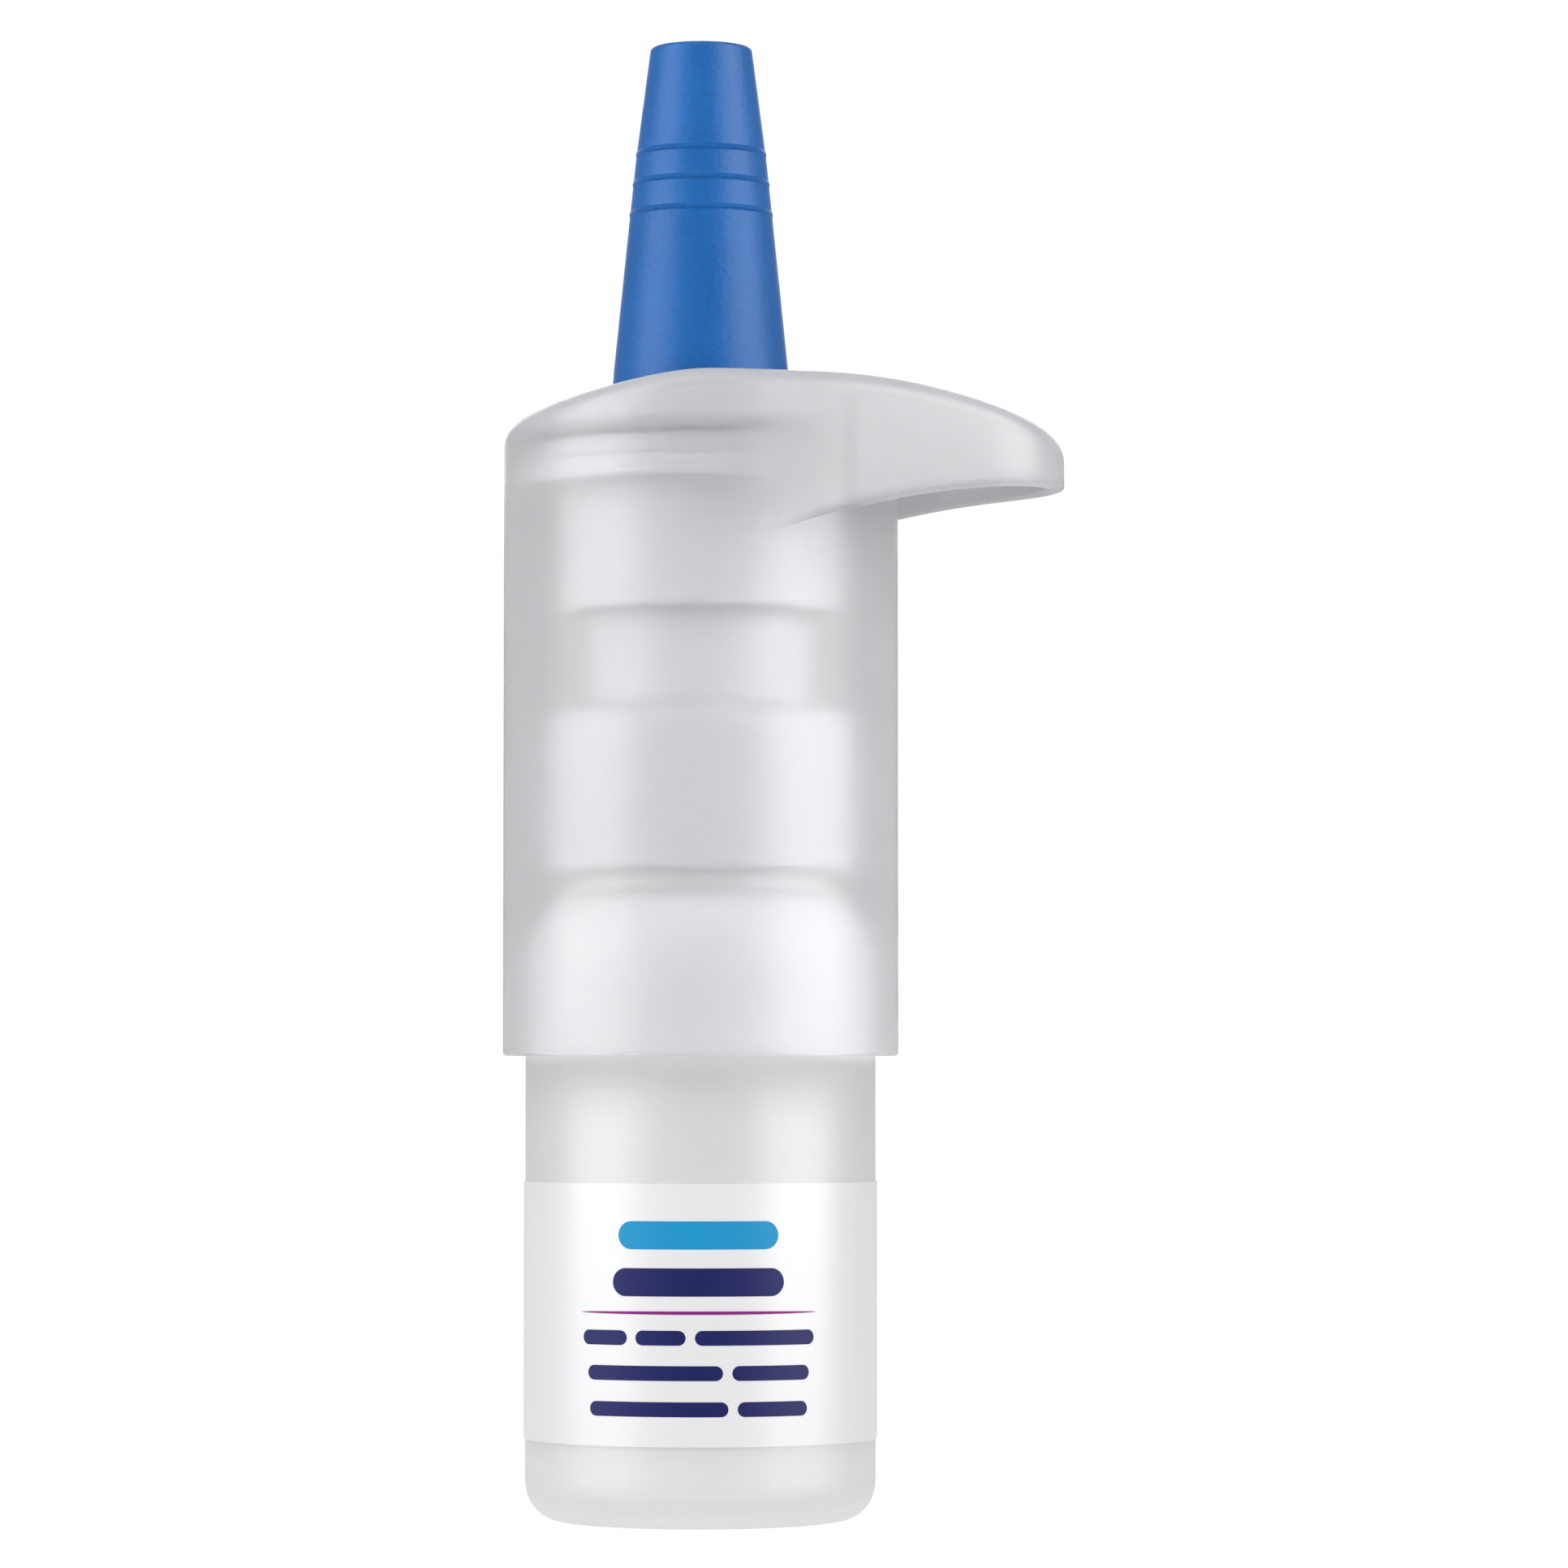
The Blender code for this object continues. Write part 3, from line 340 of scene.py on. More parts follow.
class Finish(Tree):
    """A material with one Principled shader."""

    def __init__(self, name, **sockets):
        self.material = bpy.data.materials.new(name)
        self.material.use_nodes = True
        super().__init__(self.material.node_tree.nodes, self.material.node_tree.links)
        self.shader = self.nodes["Principled BSDF"]
        self.place = self.node("ShaderNodeTexCoord", {}, {}, "Object")
        self.set(**{name.replace("_", " "): value for name, value in sockets.items()})

    def set(self, **sockets):
        self.fill(self.shader, sockets)

    def now(self, socket):
        """What goes into one of the shader's sockets so far."""
        return Wire(self, self.shader.inputs[socket].links[0].from_socket)

    def noise(self, size, detail=2.0, stretch=(1, 1, 1)):
        """Soft noise whose patches are about as wide as the size given."""
        stretched = self.node(
            "ShaderNodeMapping", {"vector_type": "POINT"}, {"Vector": self.place, "Scale": stretch}
        )
        values = {"Vector": stretched, "Scale": 1 / size, "Detail": detail}
        return self.node("ShaderNodeTexNoise", {}, values)

    def mix(self, mask, first, second):
        """The first colour where the mask is 0, the second where it is 1."""
        colours = {0: mask, 6: first, 7: second}
        return self.node("ShaderNodeMix", {"data_type": "RGBA"}, colours, 2)

    def bump(self, relief, depth):
        """Bumps as high as the relief times the depth."""
        values = {"Height": relief, "Distance": depth}
        self.set(Normal=self.node("ShaderNodeBump", {}, values))


def ramp(value, start, stop):
    """Rises from 0 to 1 as the value goes from start to stop."""
    return ((value - start) / (stop - start)).between(0, 1)


def moulded(name, colour, roughness, grain, depth, spread=0.06, evenness=0.96, **sockets):
    """A plastic moulding: a nearly even colour, patchy gloss and a fine grain.

    The spread is how much the roughness varies, and the evenness is the darkest tone's share of
    the colour.
    """
    finish = Finish(name, **sockets)
    patches, grains = finish.noise(PATCH), finish.noise(grain, GRAIN_DETAIL)
    darker = tuple(c * evenness for c in colour[:3]) + (1,)
    finish.set(**{"Base Color": finish.mix((patches + grains) * 0.5, darker, colour)})
    finish.set(Roughness=patches * spread + (roughness - spread / 2))
    finish.bump(grains, depth)
    return finish


# %% [markdown]
# ## White and natural plastics
#
# The bottle is blow-moulded and the inner parts are injection-moulded, so the bottle's skin is a
# little softer. Natural, unpigmented plastic makes the nozzle, rod and valves: the same recipe with
# some light let through.
#
# The bottle's wall is half opaque. Close below the sleeve its white is painted down to grey, a
# painted shadow of the sleeve, and its roughness rises there so the highlights spread out. Near the
# base the white is painted lighter: painted light from the glowing floor below.

# %% White, natural and soft plastics
SLEEVE_SHADOW_HEIGHTS = 24.9 * MM, 30.4 * MM, 31.2 * MM   # where the painted shadow begins, is darkest and has ended
BASE_LIGHT_HEIGHTS = 6 * MM, 4 * MM                 # heights between which the painted light from the floor grows downwards
PAINTED_SHADOW_WHITE, PAINTED_LIGHT_WHITE = screen(206, 206, 207), screen(236, 236, 236)
SHADOW_ZONE_ROUGHNESS = 0.35                  # on top of the bottle's own

bottle_white = moulded("bottle_white", screen(228, 228, 228), roughness=0.42, grain=0.5 * MM,
                       depth=0.012 * MM, IOR=1.6)
wall_height = bottle_white.place.parts()[2]
# Painted light from the glowing floor: the white grows lighter towards the base.
painted_base_light = ramp(wall_height, *BASE_LIGHT_HEIGHTS)
white_with_painted_light = bottle_white.mix(painted_base_light, bottle_white.now("Base Color"), PAINTED_LIGHT_WHITE)
# Painted shadow: the white turns grey close below the sleeve, where the sleeve's shade falls.
near_sleeve = ramp(wall_height, *SLEEVE_SHADOW_HEIGHTS[:2])
painted_shadow = near_sleeve * near_sleeve * ramp(wall_height, SLEEVE_SHADOW_HEIGHTS[2], SLEEVE_SHADOW_HEIGHTS[1])
bottle_white.set(**{
    "Base Color": bottle_white.mix(painted_shadow, white_with_painted_light, PAINTED_SHADOW_WHITE),
    "Roughness": bottle_white.now("Roughness") + painted_shadow * SHADOW_ZONE_ROUGHNESS,
})

pump_white = moulded("pump_white", screen(208, 208, 209), roughness=0.38, grain=0.5 * MM,
                     depth=0.01 * MM, IOR=1.6)
natural = moulded("natural_moulding", screen(226, 230, 233), roughness=0.26, grain=0.5 * MM,
                  depth=0.008 * MM, Transmission_Weight=0.25, IOR=1.45)
rubber = moulded("soft_rubber", screen(122, 126, 132), roughness=0.62, grain=0.6 * MM,
                 depth=0.02 * MM)
print("Plastics:", bottle_white.material.name, pump_white.material.name, natural.material.name)

# %% [markdown]
# ## Blue cap, steel, felt and label film
#
# The cap is a satin blue with a visible grain. Its three raised rings are in its solid, and as they
# stand out so little, the bump adds to them. The springs are bright drawn wire. The vent filter is
# pressed fibre. The label is a smooth film, glossier than the bottle, and its inks are flatter.

# %% Blue, steel, felt and film
RINGS_FOOT, RINGS_TOP, RING_PITCH = 85 * MM, 91 * MM, 2 * MM
RING_HALF, RING_RELIEF = 0.2 * MM, 0.1 * MM
CAP_GRAIN, CAP_RELIEF = 0.4 * MM, 0.03 * MM

cap_blue = moulded("cap_blue", screen(16, 118, 208), roughness=0.44, grain=CAP_GRAIN,
                   depth=CAP_RELIEF, spread=0.1, evenness=0.5, Specular_IOR_Level=0.19)
cap_height = cap_blue.place.parts()[2]
from_ring = ((cap_height - RINGS_FOOT) % RING_PITCH - RING_PITCH / 2).maths("ABSOLUTE")
in_rings = cap_height.maths("GREATER_THAN", RINGS_FOOT) * cap_height.maths("LESS_THAN", RINGS_TOP)
ring = (1 - from_ring / RING_HALF).between(0, 1) * in_rings
cap_blue.bump(cap_blue.noise(CAP_GRAIN, GRAIN_DETAIL) * CAP_RELIEF + ring * RING_RELIEF, 1.0)

steel = moulded("drawn_steel", screen(190, 192, 196), roughness=0.24, grain=0.5 * MM,
                depth=0.006 * MM, Metallic=1.0)
film = moulded("wrap_film", screen(248, 248, 249), roughness=0.36, grain=2 * MM,
               depth=0.008 * MM, evenness=0.985, IOR=1.6)

INKS = {"cyan_ink": (10, 158, 214), "navy_ink": (14, 22, 96), "magenta_ink": (140, 30, 130)}
cyan_ink, navy_ink, magenta_ink = [
    moulded(name, screen(*colour), roughness=0.5, grain=1 * MM, depth=0.002 * MM,
            Specular_IOR_Level=0.2)
    for name, colour in INKS.items()
]

felt = Finish("pressed_felt", Roughness=0.92)
fibres = felt.noise(0.5 * MM, detail=4.0, stretch=(1, 1, 3))
felt.set(**{"Base Color": felt.mix(fibres, screen(196, 190, 172), screen(236, 233, 222))})
felt.bump(fibres, 0.05 * MM)
rings = [round(height / MM, 1) for height in (RINGS_FOOT, RINGS_TOP)]
print("The cap's rings stand between", rings[0], "and", rings[1], "mm")

# %% [markdown]
# ## Recipes in Geometry Nodes
#
# A recipe is a Geometry Nodes tree that is written once and run on many start meshes. Its sizes are
# named inputs, and so is its finish, so one recipe serves every piece of its kind. What it made is
# kept as a plain mesh, which any other program can read.

# %% Geometry Nodes helpers
GEOMETRY, MATERIAL = "NodeSocketGeometry", "NodeSocketMaterial"
NUMBER, WHOLE, LENGTH = "NodeSocketFloat", "NodeSocketInt", "NodeSocketFloat"


class Recipe(Tree):
    """A Geometry Nodes tree with named inputs, ending in Realize Instances and Set Material."""

    def __init__(self, name, **sizes):
        self.group = bpy.data.node_groups.new(name, "GeometryNodeTree")
        super().__init__(self.group.nodes, self.group.links)
        face = self.group.interface
        face.new_socket("Geometry", in_out="OUTPUT", socket_type=GEOMETRY)
        for label, kind in {"Geometry": GEOMETRY, **sizes, "Finish": MATERIAL}.items():
            face.new_socket(label, in_out="INPUT", socket_type=kind)
        self.given = self.nodes.new("NodeGroupInput")

    def size(self, label):
        return Wire(self, self.given.outputs[label])

    def moved(self, geometry, x, y, z):
        place = self.node("ShaderNodeCombineXYZ", {}, {0: x, 1: y, 2: z})
        return self.node("GeometryNodeSetPosition", {}, {"Geometry": geometry, "Position": place})

    def end(self, geometry):
        whole = self.node("GeometryNodeRealizeInstances", {}, {"Geometry": geometry})
        dressed = {"Geometry": whole, "Material": self.size("Finish")}
        done = self.node("GeometryNodeSetMaterial", {}, dressed)
        self.links.new(done.socket, self.nodes.new("NodeGroupOutput").inputs[0])

    def make(self, name, start, **sizes):
        """Runs the tree on a start mesh and returns the result as an object with a plain mesh."""
        piece = bpy.data.objects.new(name, start)
        scene.collection.objects.link(piece)
        modifier = piece.modifiers.new("recipe", "NODES")
        modifier.node_group = self.group
        for socket in self.group.interface.items_tree:
            if socket.in_out == "INPUT" and socket.name in sizes:
                modifier[socket.identifier] = sizes[socket.name]
        evaluated = piece.evaluated_get(bpy.context.evaluated_depsgraph_get())
        mesh = bpy.data.meshes.new_from_object(evaluated)
        piece.modifiers.clear()
        piece.data = mesh
        mesh.name = name
        return piece


# %% [markdown]
# ## Turned pieces
#
# Most of the bottle is turned about one axis. Blender's Spin or Screw would do, but here the rule
# is simple enough to state in Geometry Nodes: take a grid, read one column of an outline for each
# row of it, and wrap the grid round the axis. Merging near points closes the seam and the poles.

# %% The turning recipe
SIDES = 128
CLOSE = 0.001 * MM               # points nearer than this are one

turning = Recipe("turn an outline", Sides=WHOLE)
outline, sides = turning.size("Geometry"), turning.size("Sides")
count = turning.node(
    "GeometryNodeAttributeDomainSize", {"component": "MESH"}, {"Geometry": outline}, "Point Count"
)
grid = turning.node(
    "GeometryNodeMeshGrid", {}, {"Vertices X": sides + 1, "Vertices Y": count}, "Mesh"
)
index = turning.node("GeometryNodeInputIndex", {}, {})
column = ((index + 0.5) / count).maths("FLOOR")
place = turning.node("GeometryNodeInputPosition", {}, {})
spot = turning.node(
    "GeometryNodeSampleIndex", {"data_type": "FLOAT_VECTOR", "domain": "POINT"},
    {"Geometry": outline, "Value": place, "Index": index % count},
)
radius, _, row_height = spot.parts()
angle = column / sides * math.tau
wrapped = turning.moved(
    grid, radius * angle.maths("COSINE"), radius * angle.maths("SINE"), row_height
)
closed = turning.node("GeometryNodeMergeByDistance", {}, {"Geometry": wrapped, "Distance": CLOSE})
turning.end(closed)
print("The turning recipe has", len(turning.nodes), "nodes")

# %% [markdown]
# ## Outlines from the frame
#
# The frame's solids already have every step and bore at the right size, only with few sides and
# sharp corners. So each outline is measured: the solid is cut to a quarter, and the edge left open
# along the cut is its half section. Short chords that stand for a curve become arcs again, and real
# corners get the small rounding that a mould gives them.

# %% Measure an outline
def half_section(node):
    """A turned solid's outline as points (radius, height), and whether it closes on itself."""
    shape = bmesh.new()
    shape.from_mesh(frame["nodes"][node].data)
    bmesh.ops.remove_doubles(shape, verts=shape.verts, dist=CLOSE)
    for square_to in (Vector((0, 1, 0)), Vector((1, 0, 0))):
        everything = shape.verts[:] + shape.edges[:] + shape.faces[:]
        bmesh.ops.bisect_plane(
            shape, geom=everything, dist=CLOSE / 10, plane_co=(0, 0, 0), plane_no=square_to,
            clear_inner=True,
        )
    bmesh.ops.remove_doubles(shape, verts=shape.verts, dist=CLOSE)
    beside = {}
    for edge in shape.edges:
        if edge.is_boundary and all(abs(v.co.y) < CLOSE for v in edge.verts):
            for here, there in (edge.verts, reversed(edge.verts)):
                beside.setdefault(here, []).append(there)
    ends = [v for v in beside if len(beside[v]) == 1]
    start = min(ends or beside, key=lambda v: (v.co.z, v.co.x))
    path = [start, beside[start][0]]
    while path[-1] is not start and len(beside[path[-1]]) == 2:
        path.append(next(v for v in beside[path[-1]] if v is not path[-2]))
    points = [Vector((v.co.x, v.co.z)) for v in path]
    shape.free()
    is_ring = not ends
    if is_ring:
        points.pop()
    area = sum(a.x * b.y - b.x * a.y for a, b in zip(points, points[1:] + points[:1]))
    return (points if area > 0 else points[::-1]), is_ring


# %% [markdown]
# A bevel would round every corner alike. Here a corner that turns a little is a step of a curve
# and gets the widest arc that fits, so the curve is smooth again. A sharper corner gets the mould's
# rounding, and one that hardly turns is left out.

# %% Round an outline
CURVE_TURN = math.radians(38)    # a corner that turns less than this belongs to a curve
ARC_STEP = math.radians(10)      # how far an arc turns at each of its points, at most
STRAIGHT = math.radians(0.3)     # a corner that turns less than this is none


def turn_at(points, i):
    """How far the outline turns at one of its points."""
    before, after = points[i] - points[i - 1], points[(i + 1) % len(points)] - points[i]
    return before.angle(after, 0)


def arc_at(points, i, rounding):
    """The arc that replaces one corner of an outline."""
    corner = points[i]
    before, after = points[i - 1] - corner, points[(i + 1) % len(points)] - corner
    turn = turn_at(points, i)
    room = min(before.length, after.length) / 2
    reach = room if turn < CURVE_TURN else min(rounding * math.tan(turn / 2), room)
    radius = reach / math.tan(turn / 2)
    halfway = (before.normalized() + after.normalized()).normalized()
    middle = corner + halfway * radius / math.cos(turn / 2)
    first = corner + before.normalized() * reach - middle
    last = corner + after.normalized() * reach - middle
    start = math.atan2(first.y, first.x)
    sweep = (math.atan2(last.y, last.x) - start + math.pi) % math.tau - math.pi
    steps = max(2, math.ceil(turn / ARC_STEP))
    angles = [start + sweep * k / steps for k in range(steps + 1)]
    return [middle + Vector((math.cos(a), math.sin(a))) * radius for a in angles]


def rounded(points, is_ring, rounding):
    """The outline with arcs at its corners. An outline that starts on the axis keeps its ends."""
    ends = () if is_ring else (0, len(points) - 1)
    kept = [p for i, p in enumerate(points) if i in ends or turn_at(points, i) > STRAIGHT]
    smooth = []
    for i, point in enumerate(kept):
        is_end = not is_ring and i in (0, len(kept) - 1)
        smooth += [point] if is_end else arc_at(kept, i, rounding)
    if is_ring:
        smooth.append(smooth[0])
    return [p for k, p in enumerate(smooth) if k == 0 or (p - smooth[k - 1]).length > CLOSE / 2]


# %% [markdown]
# ## Pieces take their place
#
# A finished piece stands for its solid: it hides it and rides on the same body. One function does
# this for all of them.

# %% Fit a piece to its solid
SHARP = math.radians(35)         # edges that turn more than this stay crisp


def shade(piece):
    piece.data.shade_smooth()
    piece.data.set_sharp_from_angle(angle=SHARP)


def stand_for(piece, node):
    """Hides the solid and lets the piece ride in its stead."""
    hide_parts(node)
    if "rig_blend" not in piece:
        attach(piece, frame["nodes"][node]["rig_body"])
    print(piece.name, "has", len(piece.data.polygons), "faces")


def spin(name, points, finish):
    """A piece turned from an outline of points (radius, height)."""
    start = bpy.data.meshes.new(name)
    start.from_pydata([(p.x, 0, p.y) for p in points], [], [])
    piece = turning.make(name, start, Sides=SIDES, Finish=finish.material)
    shade(piece)
    return piece


# %% [markdown]
# Seventeen of the pieces are turned ones, from the bottle itself to the small ball of the inlet
# valve. They differ only in outline, finish and rounding, so a table and one loop make them all.
# The larger a moulding, the rounder its corners. The ball and the ring seal have none to round.

# %% The turned pieces
TURNED = {      # each with its finish and the rounding of its corners in millimetres
    "neck_gasket": (rubber, 0.15), "pump_housing": (pump_white, 0.2), "vent_filter": (felt, 0.12),
    "inlet_seat": (natural, 0.12), "ball_cage": (natural, 0.12), "inlet_ball": (steel, 0.0),
    "rod_guide": (natural, 0.15), "closure_collar": (pump_white, 0.25),
    "nozzle_carrier": (pump_white, 0.25), "piston_rod": (natural, 0.12),
    "piston_seal": (rubber, 0.1), "nozzle_seal": (rubber, 0.0), "nozzle_tip": (natural, 0.12),
    "outlet_pin": (natural, 0.06), "cap": (cap_blue, 0.3), "cap_insert": (rubber, 0.3),
    "bottle": (bottle_white, 0.25),
}
for node, (finish, rounding) in TURNED.items():
    points, is_ring = half_section(node)
    piece = spin(node + "_turned", rounded(points, is_ring, rounding * MM), finish)
    stand_for(piece, node)

# %% [markdown]
# ## The springs
#
# A spring is wire on a helix. Its end turns are closed up to half the pitch, so that they can push
# on a flat face. The recipe lays points along a line, winds them up by their index, and sweeps a
# round wire along the curve they make.

# %% The winding recipe
TURN_POINTS = 40
WIRE_SIDES = 14

winding = Recipe(
    "wind a spring", Turns=WHOLE, Radius=LENGTH, Wire=LENGTH, Foot=LENGTH, Rise=LENGTH
)
turns, wire = winding.size("Turns"), winding.size("Wire")
line = winding.node("GeometryNodeMeshLine", {}, {"Count": turns * TURN_POINTS + 1})
wound = winding.node("GeometryNodeInputIndex", {}, {}) / TURN_POINTS
middle_turns = (wound - 1).between(0, turns - 2)
end_turns = wound.between(0, 1) + (wound - turns + 1).between(0, 1)
lift = (middle_turns + end_turns * 0.5) / (turns - 1) * winding.size("Rise")
helix_angle = wound * math.tau
helix = winding.moved(
    line, winding.size("Radius") * helix_angle.maths("COSINE"),
    winding.size("Radius") * helix_angle.maths("SINE"), winding.size("Foot") + wire + lift,
)
path = winding.node("GeometryNodeMeshToCurve", {}, {"Mesh": helix})
profile = winding.node(
    "GeometryNodeCurvePrimitiveCircle", {}, {"Resolution": WIRE_SIDES, "Radius": wire}
)
swept = winding.node(
    "GeometryNodeCurveToMesh", {}, {"Curve": path, "Profile Curve": profile, "Fill Caps": True}
)
winding.end(winding.node("GeometryNodeSetShadeSmooth", {}, {"Geometry": swept}))
print("The winding recipe has", len(winding.nodes), "nodes")

# %% [markdown]
# The wide spring pushes the head up again after each stroke, and the small one keeps the nozzle
# shut. The solids in the frame have the same coils with few sides, so each spring takes its height
# and width from them and is wound anew with round wire.

# %% Both springs
SPRINGS = {     # each with its wire's radius, its turns and the bodies of its foot and top
    "return_spring": (0.35 * MM, 7, ("spring_body", "head")),
    "outlet_spring": (0.15 * MM, 5, ("head", "outlet_valve")),
}
for node, (wire_radius, turn_count, bodies) in SPRINGS.items():
    foot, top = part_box(node)
    spring = winding.make(
        node + "_wound", bpy.data.meshes.new(node), Turns=turn_count, Radius=top.x - wire_radius,
        Wire=wire_radius, Foot=foot.z, Rise=top.z - foot.z - 2 * wire_radius, Finish=steel.material,
    )
    shade(spring)
    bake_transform(spring, *bodies, (0, 0, foot.z + wire_radius), (0, 0, top.z - wire_radius))
    stand_for(spring, node)

# %% [markdown]
# ## The sleeve and its hood
#
# Seen from above, the sleeve is a round tube joined by two straight flanks to the smaller circle
# of the hood's tip. Its shape is a loft: at many places along that outline a section is drawn,
# from the foot up the outside, through the hollow under the hood, over the rounded lip and the
# roof, and down the bore again. Each section has the same number of points, so neighbours join
# into faces.

# %% Heights and widths of the sleeve, in millimetres
SLEEVE_RADIUS, SLEEVE_BORE, ROOF_HOLE = 13.0, 11.9, 6.18     # as the frame has them
TIP_X, TIP_RADIUS = 24.0, 7.5
HOOD_WALL, ROOF_WALL = 1.2, 1.1
FOOT_Z, ROOF_Z, RIM_Z = 30.4, 74.55, 67.6
RIM_ARC = 53.0                             # radius of the rim's arc, seen from the side
ROOF_BACK, ROOF_BEND, ROOF_SLOPE = 1, 4, 0.25     # behind ROOF_BACK it bends into this slope
ROOF_FRONT, ROOF_DROP = 8, 3.6             # from ROOF_FRONT to the tip it falls by this
ROOF_EDGE, LIP = 1.4, 0.3
FOOT_ROUNDING, HOLLOW_ROUNDING, HOLE_ROUNDING, BORE_ROUNDING = 0.25, 0.7, 0.25, 0.5
POCKET_END, POCKET_ROUNDING = 7.8, 3.6     # along the flank, from where it leaves the tube

tip_centre = TIP_X - TIP_RADIUS
hood_turn = math.acos((SLEEVE_RADIUS - TIP_RADIUS) / tip_centre)
flank_x = SLEEVE_RADIUS * math.cos(hood_turn)


def roof_height(x):
    """Level round the cap, falling away to the back and to the hood's tip."""
    back, ahead = max(ROOF_BACK - x, 0), max(x - ROOF_FRONT, 0)
    behind = ROOF_SLOPE * (math.hypot(back, ROOF_BEND) - ROOF_BEND)
    return ROOF_Z - behind - ROOF_DROP * (ahead / (TIP_X - ROOF_FRONT)) ** 2


def rim_height(x):
    """The hood's lower rim, an arc that is level at the tip."""
    return RIM_Z - RIM_ARC + math.sqrt(RIM_ARC**2 - (TIP_X - x) ** 2)


print("The flanks leave the tube", round(flank_x, 1), "mm ahead of the axis")

# %% [markdown]
# The outline is walked once from the tip to the back, and its mirror image goes the other way.
# Under the hood the hollow follows the outline, one wall's thickness inside it. Towards the tube
# it ends in a rounded pocket, so the walk also says at each place how far the hollow is closed.

# %% The outline seen from above
TIP_COLUMNS, FLANK_COLUMNS, POCKET_COLUMNS, ROOT_COLUMNS, BACK_COLUMNS = 32, 6, 12, 7, 96


def hood_outline():
    """Places along the outline, each with its normal and how far the hollow is closed there.

    The last is a share from 0 to 1, or None where the hood is solid.
    """
    flank = math.sqrt(tip_centre**2 - (SLEEVE_RADIUS - TIP_RADIUS) ** 2)
    normal = Vector((math.cos(hood_turn), math.sin(hood_turn)))
    along = Vector((normal.y, -normal.x))
    half = []
    for i in range(TIP_COLUMNS // 2):
        angle = hood_turn * i / (TIP_COLUMNS // 2)
        out = Vector((math.cos(angle), math.sin(angle)))
        half.append((Vector((tip_centre, 0)) + out * TIP_RADIUS, out, 0))
    pocket = POCKET_END + POCKET_ROUNDING
    for i in range(FLANK_COLUMNS):
        reach = flank + (pocket - flank) * i / FLANK_COLUMNS
        half.append((normal * SLEEVE_RADIUS + along * reach, normal, 0))
    for i in range(POCKET_COLUMNS + 1):
        angle = math.pi / 2 * i / POCKET_COLUMNS
        reach = pocket - POCKET_ROUNDING * math.sin(angle)
        half.append((normal * SLEEVE_RADIUS + along * reach, normal, 1 - math.cos(angle)))
    for i in range(1, ROOT_COLUMNS + 1):
        place = normal * SLEEVE_RADIUS + along * POCKET_END * (1 - i / ROOT_COLUMNS)
        half.append((place, normal, None))
    for i in range(1, BACK_COLUMNS // 2 + 1):
        angle = hood_turn + (math.pi - hood_turn) * i / (BACK_COLUMNS // 2)
        out = Vector((math.cos(angle), math.sin(angle)))
        half.append((out * SLEEVE_RADIUS, out, None))
    flip = Vector((1, -1))
    return half + [(point * flip, out * flip, closed) for point, out, closed in half[-2:0:-1]]


print("The outline has", len(hood_outline()), "places")

# %% [markdown]
# ## The sleeve's frosted plastic
#
# Frosted plastic is clear inside and rough on its skin. Rays that pass it are scattered, so a part
# close behind it shows soft and one further away melts into grey. A rough transmission does just
# that, and some plain diffuse white stands for the milkiness of the plastic itself. The roof is the
# thickest part and the hood has two walls, so a second, milkier shader takes over above a height
# and beyond the place where the hood leaves the tube.

# %% Frosted plastic
CLARITY = 0.84
ROOF_MILKY = 70.5 * MM, 71.7 * MM          # heights between which the roof turns milky
HOOD_MILKY = 1.0 * MM, 9.0 * MM            # places ahead of the axis between which the hood does
RIM_MILKY = 0.0, 0.8 * MM                  # heights above the hood's rim
ROOF_SHARE, HOOD_SHARE = 0.6, 0.65         # how much of the milkier shader there is at most
MILKY_TONE, MILKY_ROUGHNESS = screen(221, 223, 225), 0.42

frosted = moulded("frosted_wall", screen(242, 243, 244), roughness=0.32, grain=0.6 * MM,
                  depth=0.012 * MM, spread=0.02, evenness=0.98, Transmission_Weight=CLARITY,
                  IOR=1.25, Specular_IOR_Level=0.9)
ahead, _, sleeve_height = frosted.place.parts()
short_of_tip = TIP_X * MM - ahead
rim_rise = ((RIM_ARC * MM) ** 2 - short_of_tip * short_of_tip).maths("SQRT")
over_rim = sleeve_height - (RIM_Z - RIM_ARC) * MM - rim_rise
in_roof = ramp(sleeve_height, *ROOF_MILKY) * ROOF_SHARE
in_hood = ramp(ahead, *HOOD_MILKY) * ramp(over_rim, *RIM_MILKY) * HOOD_SHARE
milkiness = in_roof.maths("MAXIMUM", in_hood)
clear = Wire(frosted, frosted.shader.outputs[0])
milky = frosted.node(
    "ShaderNodeBsdfPrincipled", {}, {"Base Color": MILKY_TONE, "Roughness": MILKY_ROUGHNESS}
)
both = frosted.node("ShaderNodeMixShader", {}, {0: milkiness, 1: clear, 2: milky})
frosted.fill(frosted.nodes["Material Output"], {"Surface": both})
print("Frosted plastic lets", CLARITY, "of the light through")

# %% [markdown]
# One section's points. Every corner that a finger could feel is an arc, written by `quarter` as it
# leaves along one direction and arrives along another. The lip is half an ellipse, and it thins out
# towards the root, where the flank runs into the tube.

# %% One section of the sleeve
CORNER_STEPS, LIP_STEPS, EDGE_STEPS = 4, 8, 8
HOLLOW_ROWS = 2 * (CORNER_STEPS + 1) + 5     # the hollow's two corners, and 5 points more
ON_TUBE = 0.01                               # a place this near to the tube's radius is on it


def quarter(corner, back, on, reach):
    """A rounded corner: it starts `reach` away along `back` and ends `reach` away along `on`."""
    points = []
    for i in range(CORNER_STEPS + 1):
        angle = math.pi / 2 * i / CORNER_STEPS
        start = corner + back * reach * (1 - math.sin(angle))
        points.append(start + on * reach * (1 - math.cos(angle)))
    return points


def lifted(place, level):
    return Vector((place.x, place.y, level))


